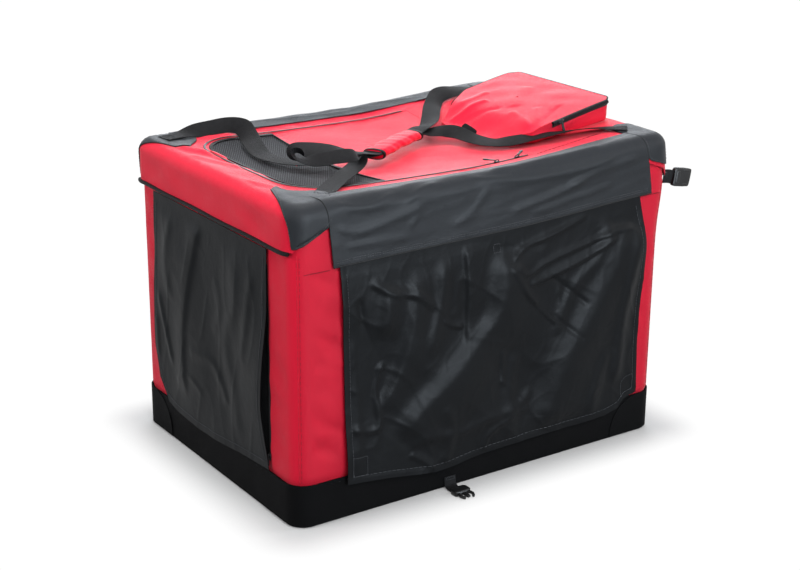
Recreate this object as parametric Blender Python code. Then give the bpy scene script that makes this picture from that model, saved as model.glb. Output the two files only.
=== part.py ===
"""A soft-sided folding dog crate: a hinged steel frame inside a sewn fabric cover.

Metres, +Z up. The origin is the centre of the underside, which lies on the floor at z = 0.
X runs along the crate's length, and -Y is the long side with the wide valance and flap.
"""

import math

import bmesh
import bpy
from mathutils import Matrix, Vector

# Overall size, measured on the black base band.
LENGTH = 0.82
WIDTH = 0.58
HEIGHT = 0.578
BASE_CORNER_R = 0.035

# Fabric, and the clearances between layers.
GAP = 0.0003
CLOTH = 0.0025
FLOOR_CLOTH = 0.004
BAND_HEIGHT = 0.080
BAND_CLOTH = 0.0055
WALL_SET_IN = 0.003
WALL_CORNER_R = 0.030
LAYER_ROOM = 0.0005
ROOF_OVERHANG = 0.004
ROOF_EDGE_R = 0.024
ROOF_CORNER_R = 0.012
ROOF_SAG = 0.028
SKIRT_DROP = 0.078
ROOF_LIP_DROP = 0.043
WALL_TUCK = 0.010

# Steel frame: two rounded rings joined by four posts that fold at a knee.
TUBE_R = 0.008
TUBE_SIDES = 10
BEND_R = 0.030
RING_SET_IN_X = 0.018
RING_SET_IN_Y = 0.020
RING_UNDER_ROOF = 0.0022
PIVOT_SET_IN = 0.058
PIVOT_RISE = 0.028
PIVOT_TO_TUBE = 0.009
KNUCKLE_R = 0.006
KNUCKLE_ROOM = 0.0005
KNUCKLE_REACH = 0.015
KNUCKLE_BITE = 0.0035
TONGUE_HALF = 0.003
EAR_INNER = 0.0033
EAR_OUTER = 0.0075
PIN_R = 0.0025
PIN_HEAD_R = 0.0042
PIN_HEAD_T = 0.0015

# Doors and windows in the walls.
DOOR_SILL = 0.102
FRONT_DOOR_TOP = 0.450
FRONT_DOOR_HALF = 0.300
END_DOOR_TOP = 0.465
END_DOOR_HALF = 0.200
MESH_CLOTH = 0.0020
MESH_ROOM = 0.0006

# Valances, flaps and piping.
VALANCE_BOTTOM = 0.470
VALANCE_LEFT = -0.340
VALANCE_RIGHT = 0.360
VALANCE_REACH = 0.085
VALANCE_LIFT = 0.0014
FLAP_ROOM = 0.0005
FLAP_CLOTH = 0.0020
FRONT_FLAP_LEFT = -0.322
FRONT_FLAP_RIGHT = 0.360
FRONT_FLAP_BOTTOM = 0.046
END_FLAP_FRONT_SHORT = 0.003
END_FLAP_BACK_LAP = 0.045
END_FLAP_BOTTOM = 0.066
PIPING_R = 0.0045

# Roof hatch, its mesh window and the pouch.
HATCH_LEFT = -0.340
HATCH_RIGHT = 0.155
HATCH_FRONT = -0.200
HATCH_BACK = 0.210
HATCH_ROUND = 0.090
HATCH_ROOM = 0.0008
BINDING = 0.012
WINDOW_RIGHT = -0.165
WINDOW_SQUARE_R = 0.002
NET_COLUMNS = 9
NET_ROWS = 14
NET_BAR = 0.0035
NET_CLOTH = 0.0015
POUCH_LEFT = 0.165
POUCH_RIGHT = 0.392
POUCH_FRONT = -0.140
POUCH_BACK = 0.160
POUCH_NOTCH = 0.045
POUCH_CORNER_CUT = 0.020
POUCH_HINGE_SET_IN = 0.068
POUCH_ZIP_START = 0.125
POUCH_LIFT = 0.0010
POUCH_RISE = 0.010
POUCH_SLOPE_X = 0.215
POUCH_SLOPE_Y = 0.020

# Webbing, grip, buckles and zip sliders.
WEB_WIDTH = 0.038
WEB_CLOTH = 0.0020
WEB_LIFT = 0.0024
WEB_ANCHOR_X = 0.058
WEB_ANCHOR_Y = 0.106
GRIP_LENGTH = 0.165
GRIP_HALF_WIDTH = 0.021
GRIP_HALF_HEIGHT = 0.009
BUCKLE_WEB = 0.025
BUCKLE_LENGTH = 0.042
BUCKLE_WIDTH = 0.034
BUCKLE_HEIGHT = 0.011
BUCKLE_WALL = 0.0022
SLIDER_LENGTH = 0.012
SLIDER_WIDTH = 0.007
SLIDER_HEIGHT = 0.0026
PULL_LENGTH = 0.022
PULL_WIDTH = 0.005
HATCH_SLIDE_LEFT = 0.150
HATCH_SLIDE_RIGHT = 0.015
ZIP_MEET = 0.060
ZIP_PART = 0.023
DOOR_SLIDER_RISE = 0.007
DOOR_SLIDER_ASIDE = 0.0045
FRONT_STRAP_X = -0.073
FRONT_STRAP_TOP = 0.0225
FRONT_STRAP_LIES = 0.022
SIDE_STRAP_SET_IN = 0.034
SIDE_STRAP_RISE = 0.016
SIDE_STRAP_ROOM = 0.0008
SIDE_STRAP_LENGTH = 0.022
SIDE_STRAP_FALL = 0.17

# Heights and planes that follow from the sizes above.
HALF_L = LENGTH / 2
HALF_W = WIDTH / 2
WALL_OUT_X = HALF_L - WALL_SET_IN
WALL_OUT_Y = HALF_W - WALL_SET_IN
ROOF_HALF_X = HALF_L + ROOF_OVERHANG
ROOF_HALF_Y = HALF_W
SKIRT_BOTTOM = HEIGHT - SKIRT_DROP
ROOF_LIP_BOTTOM = HEIGHT - ROOF_LIP_DROP
WALL_TOP = ROOF_LIP_BOTTOM + WALL_TUCK
RING_X = HALF_L - RING_SET_IN_X
RING_Y = HALF_W - RING_SET_IN_Y
BASE_RING_Z = FLOOR_CLOTH + GAP + TUBE_R
TOP_RING_Z = HEIGHT - CLOTH - TUBE_R - RING_UNDER_ROOF
PIVOT_X = HALF_L - PIVOT_SET_IN
BASE_PIVOT_Z = BASE_RING_Z + PIVOT_RISE
TOP_PIVOT_Z = TOP_RING_Z - PIVOT_RISE
KNEE_Z = (BASE_PIVOT_Z + TOP_PIVOT_Z) / 2
TUBE_GAP = KNUCKLE_R + KNUCKLE_ROOM
FLAP_PLANE_Y = HALF_W + GAP
FLAP_PLANE_X = HALF_L + GAP
FRONT_FLAP_TOP = VALANCE_BOTTOM - FLAP_ROOM
PIPING_Z = SKIRT_BOTTOM - GAP - PIPING_R
PIPING_X = HALF_L + LAYER_ROOM + PIPING_R
END_FLAP_TOP = PIPING_Z - PIPING_R - FLAP_ROOM
END_FLAP_FRONT = END_FLAP_FRONT_SHORT - END_DOOR_HALF
END_FLAP_BACK = END_DOOR_HALF + END_FLAP_BACK_LAP
POUCH_LOW = HEIGHT + POUCH_RISE
WALL_MID_X = WALL_OUT_X - CLOTH / 2
WALL_MID_Y = WALL_OUT_Y - CLOTH / 2
FRONT_DOOR_HINGE = (0, -WALL_MID_Y, DOOR_SILL + MESH_ROOM + MESH_CLOTH / 2)
LEFT_DOOR_HINGE = (-WALL_MID_X, 0, END_DOOR_TOP - MESH_ROOM - MESH_CLOTH / 2)
FRONT_STRAP_ROOT = (FRONT_STRAP_X, -HALF_W - GAP - WEB_CLOTH / 2, FRONT_STRAP_TOP)
SIDE_STRAP_ROOT = (
    ROOF_HALF_X + SIDE_STRAP_ROOM, SIDE_STRAP_SET_IN - HALF_W, SKIRT_BOTTOM + SIDE_STRAP_RISE,
)
HATCH_SLIDER_LEFT_X = HATCH_RIGHT - ZIP_MEET - ZIP_PART
HATCH_SLIDER_RIGHT_X = HATCH_RIGHT - ZIP_MEET + ZIP_PART
POUCH_SLIDER_X = POUCH_LEFT + POUCH_ZIP_START
POUCH_SLIDER_Y = POUCH_FRONT + 2 * CLOTH
DOOR_SLIDER_Z = DOOR_SILL + DOOR_SLIDER_RISE
FRONT_SLIDER_PLACE = (FRONT_DOOR_HALF + DOOR_SLIDER_ASIDE, -WALL_OUT_Y + CLOTH + GAP, DOOR_SLIDER_Z)
LEFT_SLIDER_PLACE = (-WALL_OUT_X - GAP, -END_DOOR_HALF, DOOR_SLIDER_Z)

# The knuckles' lanes along Y, and each post's pivot line and inward direction.
EARS = ((-EAR_OUTER, -EAR_INNER), (EAR_INNER, EAR_OUTER))
TONGUE = ((-TONGUE_HALF, TONGUE_HALF),)
POSTS = {
    "front_left": (-PIVOT_X, -RING_Y, 1),
    "back_left": (-PIVOT_X, RING_Y, 1),
    "front_right": (PIVOT_X, -RING_Y, -1),
    "back_right": (PIVOT_X, RING_Y, -1),
}


def clear_scene():
    for item in list(bpy.data.objects):
        bpy.data.objects.remove(item, do_unlink=True)


def make_material(name, colour, roughness, metallic=0.0):
    material = bpy.data.materials.new(name)
    material.use_nodes = True
    shader = material.node_tree.nodes["Principled BSDF"]
    shader.inputs["Base Color"].default_value = (*colour, 1.0)
    shader.inputs["Roughness"].default_value = roughness
    shader.inputs["Metallic"].default_value = metallic
    material.diffuse_color = (*colour, 1.0)
    return material


def add_object(name, bm, material, smooth_angle=None):
    """Turn a bmesh into a named object, with its faces pointing out."""
    bmesh.ops.recalc_face_normals(bm, faces=bm.faces)
    mesh = bpy.data.meshes.new(name)
    bm.to_mesh(mesh)
    bm.free()
    if smooth_angle:
        mesh.shade_smooth()
        mesh.set_sharp_from_angle(angle=math.radians(smooth_angle))
    item = bpy.data.objects.new(name, mesh)
    item.data.materials.append(material)
    bpy.context.scene.collection.objects.link(item)
    return item


def ring_solid(name, rings, material, cyclic=False, smooth_angle=None):
    """A closed body through loops of equal counts, capped at both ends or joined end to start."""
    bm = bmesh.new()
    loops = [[bm.verts.new(point) for point in ring] for ring in rings]
    pairs = list(zip(loops, loops[1:]))
    if cyclic:
        pairs.append((loops[-1], loops[0]))
    count = len(loops[0])
    for lower, upper in pairs:
        for i in range(count):
            j = (i + 1) % count
            bm.faces.new((lower[i], lower[j], upper[j], upper[i]))
    if not cyclic:
        bm.faces.new(loops[0])
        bm.faces.new(loops[-1])
    return add_object(name, bm, material, smooth_angle)


def grid_solid(name, us, vs, outer, inner, material, holes=(), smooth_angle=None):
    """A sheet with two faces, outer(u, v) and inner(u, v), open at the cells in holes."""
    bm = bmesh.new()
    columns, rows = len(us) - 1, len(vs) - 1
    made = {}

    def corner(i, j, side):
        if (i, j, side) not in made:
            surface = outer if side else inner
            made[i, j, side] = bm.verts.new(surface(us[i], vs[j]))
        return made[i, j, side]

    def solid(i, j):
        return 0 <= i < columns and 0 <= j < rows and (i, j) not in holes

    for i in range(columns):
        for j in range(rows):
            if not solid(i, j):
                continue
            square = ((i, j), (i + 1, j), (i + 1, j + 1), (i, j + 1))
            for side in (0, 1):
                bm.faces.new([corner(*at, side) for at in square])
            beside = ((i, j - 1), (i + 1, j), (i, j + 1), (i - 1, j))
            for k, neighbour in enumerate(beside):
                if not solid(*neighbour):
                    a, b = square[k], square[(k + 1) % 4]
                    bm.faces.new((corner(*a, 0), corner(*b, 0), corner(*b, 1), corner(*a, 1)))
    return add_object(name, bm, material, smooth_angle)


def spaced(low, high, count):
    """Evenly spaced values from low to high, count steps apart."""
    return [low + (high - low) * i / count for i in range(count + 1)]


def outline(x0, x1, y0, y1, radii, arc_steps=4, side_steps=6):
    """A rectangle with four round corners, from the low corner counter-clockwise."""
    corners = (
        (x0, y0, 1, 1, 180),
        (x1, y0, -1, 1, 270),
        (x1, y1, -1, -1, 0),
        (x0, y1, 1, -1, 90),
    )
    arcs = []
    for (x, y, sx, sy, start), radius in zip(corners, radii):
        centre = Vector((x + sx * radius, y + sy * radius))
        turns = [math.radians(start + 90 * k / arc_steps) for k in range(arc_steps + 1)]
        arcs.append([centre + radius * Vector((math.cos(t), math.sin(t))) for t in turns])
    points = []
    for k, arc in enumerate(arcs):
        following = arcs[(k + 1) % 4][0]
        points += arc
        points += [arc[-1].lerp(following, s / side_steps) for s in range(1, side_steps)]
    return points


def smooth_route(points, steps):
    """Points along a smooth curve through the given ones, steps to each stretch."""
    path = [Vector(p) for p in points]
    path = [2 * path[0] - path[1], *path, 2 * path[-1] - path[-2]]
    found = []
    for a, b, c, d in zip(path, path[1:], path[2:], path[3:]):
        for i in range(steps):
            t = i / steps
            found.append(
                0.5 * (2 * b + (c - a) * t + (2 * a - 5 * b + 4 * c - d) * t * t
                       + (3 * b - a - 3 * c + d) * t ** 3)
            )
    return [*found, path[-2]]


def directions(path, cyclic=False):
    """The unit tangent at each point of a path."""
    count = len(path)
    found = []
    for i in range(count):
        before = path[(i - 1) % count] if cyclic else path[max(i - 1, 0)]
        after = path[(i + 1) % count] if cyclic else path[min(i + 1, count - 1)]
        found.append((after - before).normalized())
    return found


def tube(name, path, radius, material, sides=TUBE_SIDES, cyclic=False, up=Vector((0, 0, 1))):
    """A round rod or tube along a path that never runs along up."""
    rings = []
    for centre, along in zip(path, directions(path, cyclic)):
        across = along.cross(up).normalized()
        rise = across.cross(along)
        turns = [2 * math.pi * (k + 0.5) / sides for k in range(sides)]
        rings.append([centre + radius * (math.cos(t) * across + math.sin(t) * rise) for t in turns])
    return ring_solid(name, rings, material, cyclic=cyclic, smooth_angle=40)


def ribbon(name, path, width, material, cloth=WEB_CLOTH, across=None):
    """Flat webbing along a path: its width lies across the path, level unless across is given."""
    rings = []
    for centre, along in zip(path, directions(path)):
        side = (across or along.cross(Vector((0, 0, 1)))).normalized() * width / 2
        rise = side.cross(along).normalized() * cloth / 2
        corners = ((-side, -rise), (side, -rise), (side, rise), (-side, rise))
        rings.append([centre + sideways + up for sideways, up in corners])
    return ring_solid(name, rings, material)


def prism(bm, profile, low, high):
    """Add a closed prism to bm: an XZ profile run along Y from low to high."""
    near = [bm.verts.new((x, low, z)) for x, z in profile]
    far = [bm.verts.new((x, high, z)) for x, z in profile]
    bm.faces.new(near)
    bm.faces.new(far)
    for i in range(len(profile)):
        j = (i + 1) % len(profile)
        bm.faces.new((near[i], near[j], far[j], far[i]))


def hidden_object(name, bm):
    """A cutter or an added lump that a Boolean uses and that is no part of the crate."""
    bmesh.ops.recalc_face_normals(bm, faces=bm.faces)
    mesh = bpy.data.meshes.new(name)
    bm.to_mesh(mesh)
    bm.free()
    item = bpy.data.objects.new(name, mesh)
    item.hide_render = True
    item.display_type = "WIRE"
    bpy.context.scene.collection.objects.link(item)
    return item


def combine(item, other, operation):
    modifier = item.modifiers.new(operation.title(), "BOOLEAN")
    modifier.operation = operation
    modifier.solver = "EXACT"
    modifier.object = other


def circle(cx, cz, radius, steps=10):
    turns = [2 * math.pi * k / steps for k in range(steps)]
    return [(cx + radius * math.cos(t), cz + radius * math.sin(t)) for t in turns]


def knuckle(bm, x, z, y, inward, upward, lanes):
    """Add a hinge knuckle at a pivot: a round end with an arm to a tube that is set inward."""
    turns = [math.radians(90 + 270 * k / 6) for k in range(7)]
    profile = [(KNUCKLE_R * math.cos(t), KNUCKLE_R * math.sin(t)) for t in turns]
    reach = TUBE_GAP + KNUCKLE_BITE
    profile += [(KNUCKLE_REACH, 0.0), (KNUCKLE_REACH, reach), (0.0, reach)]
    placed = [(x + inward * px, z + upward * pz) for px, pz in profile]
    for low, high in lanes:
        prism(bm, placed, y + low, y + high)


def lug(bm, x, z, y, upward):
    """Add a fork to a ring tube: two ears that stand from the tube to the pivot at x, z."""
    turns = [math.radians(180 * k / 4) for k in range(5)]
    profile = [(KNUCKLE_R * math.cos(t), KNUCKLE_R * math.sin(t)) for t in turns]
    profile += [(-KNUCKLE_R, -PIVOT_RISE), (KNUCKLE_R, -PIVOT_RISE)]
    placed = [(x + px, z + upward * pz) for px, pz in profile]
    for low, high in EARS:
        prism(bm, placed, y + low, y + high)


def bores(name, places):
    """The cutter for the pin holes at the given (x, z, y)."""
    bm = bmesh.new()
    for x, z, y in places:
        prism(bm, circle(x, z, PIN_R + GAP), y - 2 * EAR_OUTER, y + 2 * EAR_OUTER)
    return hidden_object(name, bm)


def build_ring_frame(name, z, pivot_z, upward, steel):
    """A rounded rectangle of tube with four forks for the posts' pivots."""
    path = [Vector((p.x, p.y, z)) for p in outline(-RING_X, RING_X, -RING_Y, RING_Y, [BEND_R] * 4, 4, 2)]
    ring = tube(name, path, TUBE_R, steel, cyclic=True)
    bm = bmesh.new()
    for x, y, _ in POSTS.values():
        lug(bm, x, pivot_z, y, upward)
    combine(ring, hidden_object(name + "_forks", bm), "UNION")
    places = [(x, pivot_z, y) for x, y, _ in POSTS.values()]
    combine(ring, bores(name + "_bores", places), "DIFFERENCE")


def build_post(name, x, y, inward, low_pivot, high_pivot, top_lanes, steel):
    """One half of a post: a tube with a tongue at its foot and top_lanes at its head."""
    tube_x = x + inward * PIVOT_TO_TUBE
    ends = (low_pivot + TUBE_GAP, high_pivot - TUBE_GAP)
    path = [Vector((tube_x, y, z)) for z in ends]
    post = tube(name, path, TUBE_R, steel, up=Vector((0, 1, 0)))
    bm = bmesh.new()
    knuckle(bm, x, low_pivot, y, inward, 1, TONGUE)
    knuckle(bm, x, high_pivot, y, inward, -1, top_lanes)
    combine(post, hidden_object(name + "_knuckles", bm), "UNION")
    places = [(x, low_pivot, y), (x, high_pivot, y)]
    combine(post, bores(name + "_bores", places), "DIFFERENCE")


def build_pin(name, x, y, z, steel):
    """A hinge pin along Y with a flat head at each end."""
    shank = EAR_OUTER + GAP
    stations = (
        (-shank - PIN_HEAD_T, PIN_HEAD_R),
        (-shank, PIN_HEAD_R),
        (-shank, PIN_R),
        (shank, PIN_R),
        (shank, PIN_HEAD_R),
        (shank + PIN_HEAD_T, PIN_HEAD_R),
    )
    rings = [
        [Vector((px, y + along, pz)) for px, pz in circle(x, z, radius)]
        for along, radius in stations
    ]
    ring_solid(name, rings, steel, smooth_angle=40)


def build_frame(paint, bright):
    """Base ring, top ring, four two-part posts, and a pin at each foot, knee and head."""
    build_ring_frame("base_frame", BASE_RING_Z, BASE_PIVOT_Z, 1, paint)
    build_ring_frame("top_frame", TOP_RING_Z, TOP_PIVOT_Z, -1, paint)
    for corner, (x, y, inward) in POSTS.items():
        build_post(f"post_{corner}_lower", x, y, inward, BASE_PIVOT_Z, KNEE_Z, EARS, paint)
        build_post(f"post_{corner}_upper", x, y, inward, KNEE_Z, TOP_PIVOT_Z, TONGUE, paint)
        for place, z in (("base", BASE_PIVOT_Z), ("knee", KNEE_Z), ("top", TOP_PIVOT_Z)):
            build_pin(f"pin_{corner}_{place}", x, y, z, bright)


def flat_ring(points, z):
    return [Vector((p.x, p.y, z)) for p in points]


def build_base(black, pad_cloth):
    """The stiff floor, the band of black cloth that stands round it, and the pad that lies on it."""
    outer = outline(-HALF_L, HALF_L, -HALF_W, HALF_W, [BASE_CORNER_R] * 4)
    inner_x, inner_y = HALF_L - BAND_CLOTH, HALF_W - BAND_CLOTH
    inner = outline(-inner_x, inner_x, -inner_y, inner_y, [BASE_CORNER_R - BAND_CLOTH] * 4)
    ring_solid("base_floor", [flat_ring(outer, 0.0), flat_ring(outer, FLOOR_CLOTH)], black)
    foot = FLOOR_CLOTH + GAP
    rings = [
        flat_ring(outer, foot),
        flat_ring(outer, BAND_HEIGHT),
        flat_ring(inner, BAND_HEIGHT),
        flat_ring(inner, foot),
    ]
    ring_solid("base_band", rings, black, cyclic=True)
    pad_x, pad_y = RING_X - 2 * TUBE_R, RING_Y - 2.5 * TUBE_R
    low, high, round_r = FLOOR_CLOTH + GAP, FLOOR_CLOTH + 0.026, 0.006
    rings = []
    for z, inset in ((low, round_r), (low + round_r, 0), (high - round_r, 0), (high, round_r)):
        x, y = pad_x - inset, pad_y - inset
        rings.append(flat_ring(outline(-x, x, -y, y, [0.03] * 4), z))
    ring_solid("floor_pad", rings, pad_cloth)


def build_long_wall(name, side, red):
    """A front or back wall (side -1 or 1): red cloth round a wide opening."""
    seam = WALL_OUT_X - WALL_CORNER_R - GAP
    us = [-seam, -FRONT_DOOR_HALF, FRONT_DOOR_HALF, seam]
    vs = [BAND_HEIGHT + GAP, DOOR_SILL, FRONT_DOOR_TOP, WALL_TOP]
    grid_solid(
        name, us, vs,
        lambda x, z: (x, side * WALL_OUT_Y, z),
        lambda x, z: (x, side * (WALL_OUT_Y - CLOTH), z),
        red, holes={(1, 1)},
    )


def build_end_wall(name, side, red):
    """An end wall (side -1 or 1) that carries the crate's round corners to the seams."""
    core_x, core_y = WALL_OUT_X - WALL_CORNER_R, WALL_OUT_Y - WALL_CORNER_R
    turns = spaced(0, math.pi / 2, 5)
    stations = [(-core_y, math.sin(t), -math.cos(t)) for t in turns]
    stations += [(y, 1.0, 0.0) for y in (-END_DOOR_HALF, END_DOOR_HALF)]
    stations += [(core_y, math.cos(t), math.sin(t)) for t in turns]
    doorway = (len(turns), 1)
    vs = [BAND_HEIGHT + GAP, DOOR_SILL, END_DOOR_TOP, WALL_TOP]

    def surface(radius):
        def at(k, z):
            y, out_x, out_y = stations[k]
            return (side * (core_x + radius * out_x), y + radius * out_y, z)

        return at

    outer, inner = surface(WALL_CORNER_R), surface(WALL_CORNER_R - CLOTH)
    grid_solid(name, range(len(stations)), vs, outer, inner, red, holes={doorway}, smooth_angle=40)


def build_mesh_panels(mesh):
    """Mesh doors in the front and left walls, and mesh windows in the back and right walls."""
    wide, high = FRONT_DOOR_HALF - MESH_ROOM, FRONT_DOOR_TOP - MESH_ROOM
    low = DOOR_SILL + MESH_ROOM
    for name, side in (("front_mesh_door", -1), ("back_mesh_window", 1)):
        face = side * (WALL_OUT_Y - CLOTH / 2)
        grid_solid(
            name, spaced(-wide, wide, 1), spaced(low, high, 1),
            lambda x, z, y=face: (x, y + MESH_CLOTH / 2, z),
            lambda x, z, y=face: (x, y - MESH_CLOTH / 2, z), mesh,
        )
    wide, high = END_DOOR_HALF - MESH_ROOM, END_DOOR_TOP - MESH_ROOM
    for name, side in (("left_mesh_door", -1), ("right_mesh_window", 1)):
        face = side * (WALL_OUT_X - CLOTH / 2)
        grid_solid(
            name, spaced(-wide, wide, 1), spaced(low, high, 1),
            lambda y, z, x=face: (x + MESH_CLOTH / 2, y, z),
            lambda y, z, x=face: (x - MESH_CLOTH / 2, y, z), mesh,
        )


def sag(x, y):
    """How far the roof hangs below its edges."""
    along = max(0.0, 1 - (x / RING_X) ** 2)
    across = max(0.0, 1 - (y / RING_Y) ** 2)
    return ROOF_SAG * along * across


def roof_z(x, y):
    return HEIGHT - sag(x, y)


def on_roof(points, lift):
    return [Vector((p.x, p.y, roof_z(p.x, p.y) + lift)) for p in points]


def roof_side_rings(inset):
    """Loops from the roof's rim round its soft edge to the hem, set in by inset."""
    edge_x, edge_y = ROOF_HALF_X - ROOF_EDGE_R, ROOF_HALF_Y - ROOF_EDGE_R
    radius = ROOF_EDGE_R - inset
    rings = []
    for turn in spaced(0, math.pi / 2, 4):
        out = radius * math.sin(turn)
        x, y = edge_x + out, edge_y + out
        z = HEIGHT - ROOF_EDGE_R + radius * math.cos(turn)
        plan = outline(-x, x, -y, y, [ROOF_CORNER_R + out] * 4)
        fall = 1 - math.sin(turn)
        rings.append([Vector((p.x, p.y, z - fall * sag(p.x, p.y))) for p in plan])
    hem = []
    for p in rings[-1]:
        on_end = abs(p.x) > edge_x + 0.7 * radius
        hem.append(Vector((p.x, p.y, SKIRT_BOTTOM if on_end else ROOF_LIP_BOTTOM)))
    return [*rings, hem]


def hatch_outline(room):
    """The hatch's plan, set in by room: its left end is half round."""
    return outline(
        HATCH_LEFT + room, HATCH_RIGHT - room, HATCH_FRONT + room, HATCH_BACK - room,
        [HATCH_ROUND - room, WINDOW_SQUARE_R, WINDOW_SQUARE_R, HATCH_ROUND - room],
    )


def build_roof(red):
    """The red roof with its soft edges and end skirts, open where the hatch lies."""
    hole = hatch_outline(0.0)
    outer = roof_side_rings(0.0)
    inner = roof_side_rings(CLOTH)
    rim = [p.to_2d() for p in outer[0]]
    steps = (0.0, 0.25, 0.5, 0.75)
    top = [on_roof([a.lerp(b, t) for a, b in zip(hole, rim)], 0.0) for t in steps]
    under = [on_roof([a.lerp(b, t) for a, b in zip(hole, rim)], -CLOTH) for t in steps]
    rings = [*top, *outer, *reversed(inner), *reversed(under)]
    ring_solid("roof_cover", rings, red, cyclic=True, smooth_angle=40)


def window_outline():
    return outline(
        HATCH_LEFT + BINDING, WINDOW_RIGHT, HATCH_FRONT + BINDING, HATCH_BACK - BINDING,
        [HATCH_ROUND - BINDING, WINDOW_SQUARE_R, WINDOW_SQUARE_R, HATCH_ROUND - BINDING],
    )


def build_hatch(red, mesh):
    """The zipped hatch: a red panel whose round left end holds a window of net."""
    outer, inner = hatch_outline(HATCH_ROOM), window_outline()
    plans = [[a.lerp(b, t) for a, b in zip(outer, inner)] for t in (0.0, 0.25, 0.5, 0.75, 1.0)]
    top = [on_roof(plan, 0.0) for plan in plans]
    under = [on_roof(plan, -CLOTH) for plan in reversed(plans)]
    ring_solid("hatch_panel", [*top, *under], red, cyclic=True, smooth_angle=40)
    build_net(mesh)


def build_net(mesh):
    """The hatch's flat net: bars that follow the window's round end, with a gap in each cell."""
    radius = (HATCH_ROUND - BINDING) * math.cos(math.pi / 16) - HATCH_ROOM
    inset = HATCH_ROUND - radius
    left, right = HATCH_LEFT + inset, WINDOW_RIGHT - HATCH_ROOM
    front, back = HATCH_FRONT + inset, HATCH_BACK - inset

    def left_edge(y):
        past = max(front + radius - y, y - back + radius, 0.0)
        return left + radius - math.sqrt(max(radius ** 2 - past ** 2, 0.0))

    def lines(count, length):
        bar = NET_BAR / length
        cell = (1 - bar) / count
        return [v for k in range(count) for v in (k * cell, k * cell + bar)] + [1 - bar, 1.0]

    def at(u, v, lift):
        y = front + v * (back - front)
        start = left_edge(y)
        x = start + u * (right - start)
        return (x, y, roof_z(x, y) + lift)

    us, vs = lines(NET_COLUMNS, right - left), lines(NET_ROWS, back - front)
    gaps = {(2 * i + 1, 2 * j + 1) for i in range(NET_COLUMNS) for j in range(NET_ROWS)}
    top, under = -CLOTH / 2 + NET_CLOTH / 2, -CLOTH / 2 - NET_CLOTH / 2
    grid_solid("hatch_mesh", us, vs, lambda u, v: at(u, v, top), lambda u, v: at(u, v, under), mesh, gaps)


def build_valance(name, side, slate):
    """A wide band of cloth from the roof over a long edge and down outside the wall."""
    core_y, core_z = ROOF_HALF_Y - ROOF_EDGE_R, HEIGHT - ROOF_EDGE_R
    start = ROOF_HALF_Y - VALANCE_REACH
    rows = [(y, HEIGHT, 0.0) for y in (start, (start + core_y) / 2)]
    for turn in spaced(0, math.pi / 2, 5):
        rows.append((core_y + ROOF_EDGE_R * math.sin(turn), core_z + ROOF_EDGE_R * math.cos(turn), turn))
    rows += [(ROOF_HALF_Y, z, math.pi / 2) for z in ((core_z + VALANCE_BOTTOM) / 2, VALANCE_BOTTOM)]

    def at(lift):
        def place(x, k):
            y, z, turn = rows[k]
            fall = (1 - math.sin(turn)) * sag(x, y)
            return (x, side * (y + lift * math.sin(turn)), z + lift * math.cos(turn) - fall)

        return place

    outer, inner = at(VALANCE_LIFT + CLOTH), at(VALANCE_LIFT)
    columns = spaced(VALANCE_LEFT, VALANCE_RIGHT, 8)
    grid_solid(name, columns, range(len(rows)), outer, inner, slate, smooth_angle=40)


def build_piping(name, side, black):
    """The thick welt under an end skirt: straight, with its ends turned round the corners."""
    core_x, core_y = HALF_L - BASE_CORNER_R, HALF_W - BASE_CORNER_R
    radius = PIPING_X - core_x
    path = []
    for turn in (70, 50, 25, 0):
        t = math.radians(turn)
        x, y = core_x + radius * math.cos(t), -core_y - radius * math.sin(t)
        path.append(Vector((side * x, y, PIPING_Z)))
    path += [Vector((p.x, -p.y, p.z)) for p in reversed(path)]
    tube(name, path, PIPING_R, black, sides=8)


def front_flap_fold(u, v):
    """How far the front flap's folds stand out: u runs left to right, v from hem to foot."""
    flutes = 0.5 + 0.5 * math.sin(2 * math.pi * (3.2 * u + 0.35 * v + 0.1))
    fan = 0.5 + 0.5 * math.sin(2 * math.pi * (2.1 * u - 1.4 * v + 0.55))
    diamond = math.exp(-((u - 0.72) / 0.16) ** 2 - ((v - 0.30) / 0.16) ** 2)
    return 0.009 * v * flutes + 0.006 * math.sin(math.pi * v) * fan + 0.004 * diamond * v


def front_flap_hem(u):
    """The front flap's foot rises at both ends and hangs lowest left of the middle."""
    return FRONT_FLAP_BOTTOM + 0.040 * (u - 0.35) ** 2 - 0.003 * math.cos(2 * math.pi * 2.5 * u)


def end_flap_fold(u, v):
    """Folds of an end flap: an upright crease past the middle, and a free edge that bows."""
    crease = math.exp(-((u - 0.55) / 0.10) ** 2)
    bow = math.exp(-(u / 0.22) ** 2) * math.sin(math.pi * min(1.0, 1.2 * v))
    swell = math.sin(math.pi * u)
    return 0.006 * crease * v + 0.010 * bow * v + 0.004 * swell * math.sin(math.pi * v)


def end_flap_hem(u):
    """An end flap's foot: level, and lifted at the far edge."""
    return END_FLAP_BOTTOM + 0.045 * max(0.0, u - 0.86) / 0.14 - 0.008 * math.sin(math.pi * u)


def plain_fold(u, v):
    return 0.0


def plain_hem(u):
    return FRONT_FLAP_BOTTOM


def plain_end_hem(u):
    return END_FLAP_BOTTOM


def build_long_flap(name, side, fold, hem, columns, rows, black):
    width = FRONT_FLAP_RIGHT - FRONT_FLAP_LEFT

    def at(thickness):
        def place(u, v):
            z = FRONT_FLAP_TOP + (hem(u) - FRONT_FLAP_TOP) * v
            y = FLAP_PLANE_Y + fold(u, v) + thickness
            return (FRONT_FLAP_LEFT + u * width, side * y, z)

        return place

    us, vs = spaced(0, 1, columns), spaced(0, 1, rows)
    grid_solid(name, us, vs, at(FLAP_CLOTH), at(0.0), black, smooth_angle=60)


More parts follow.
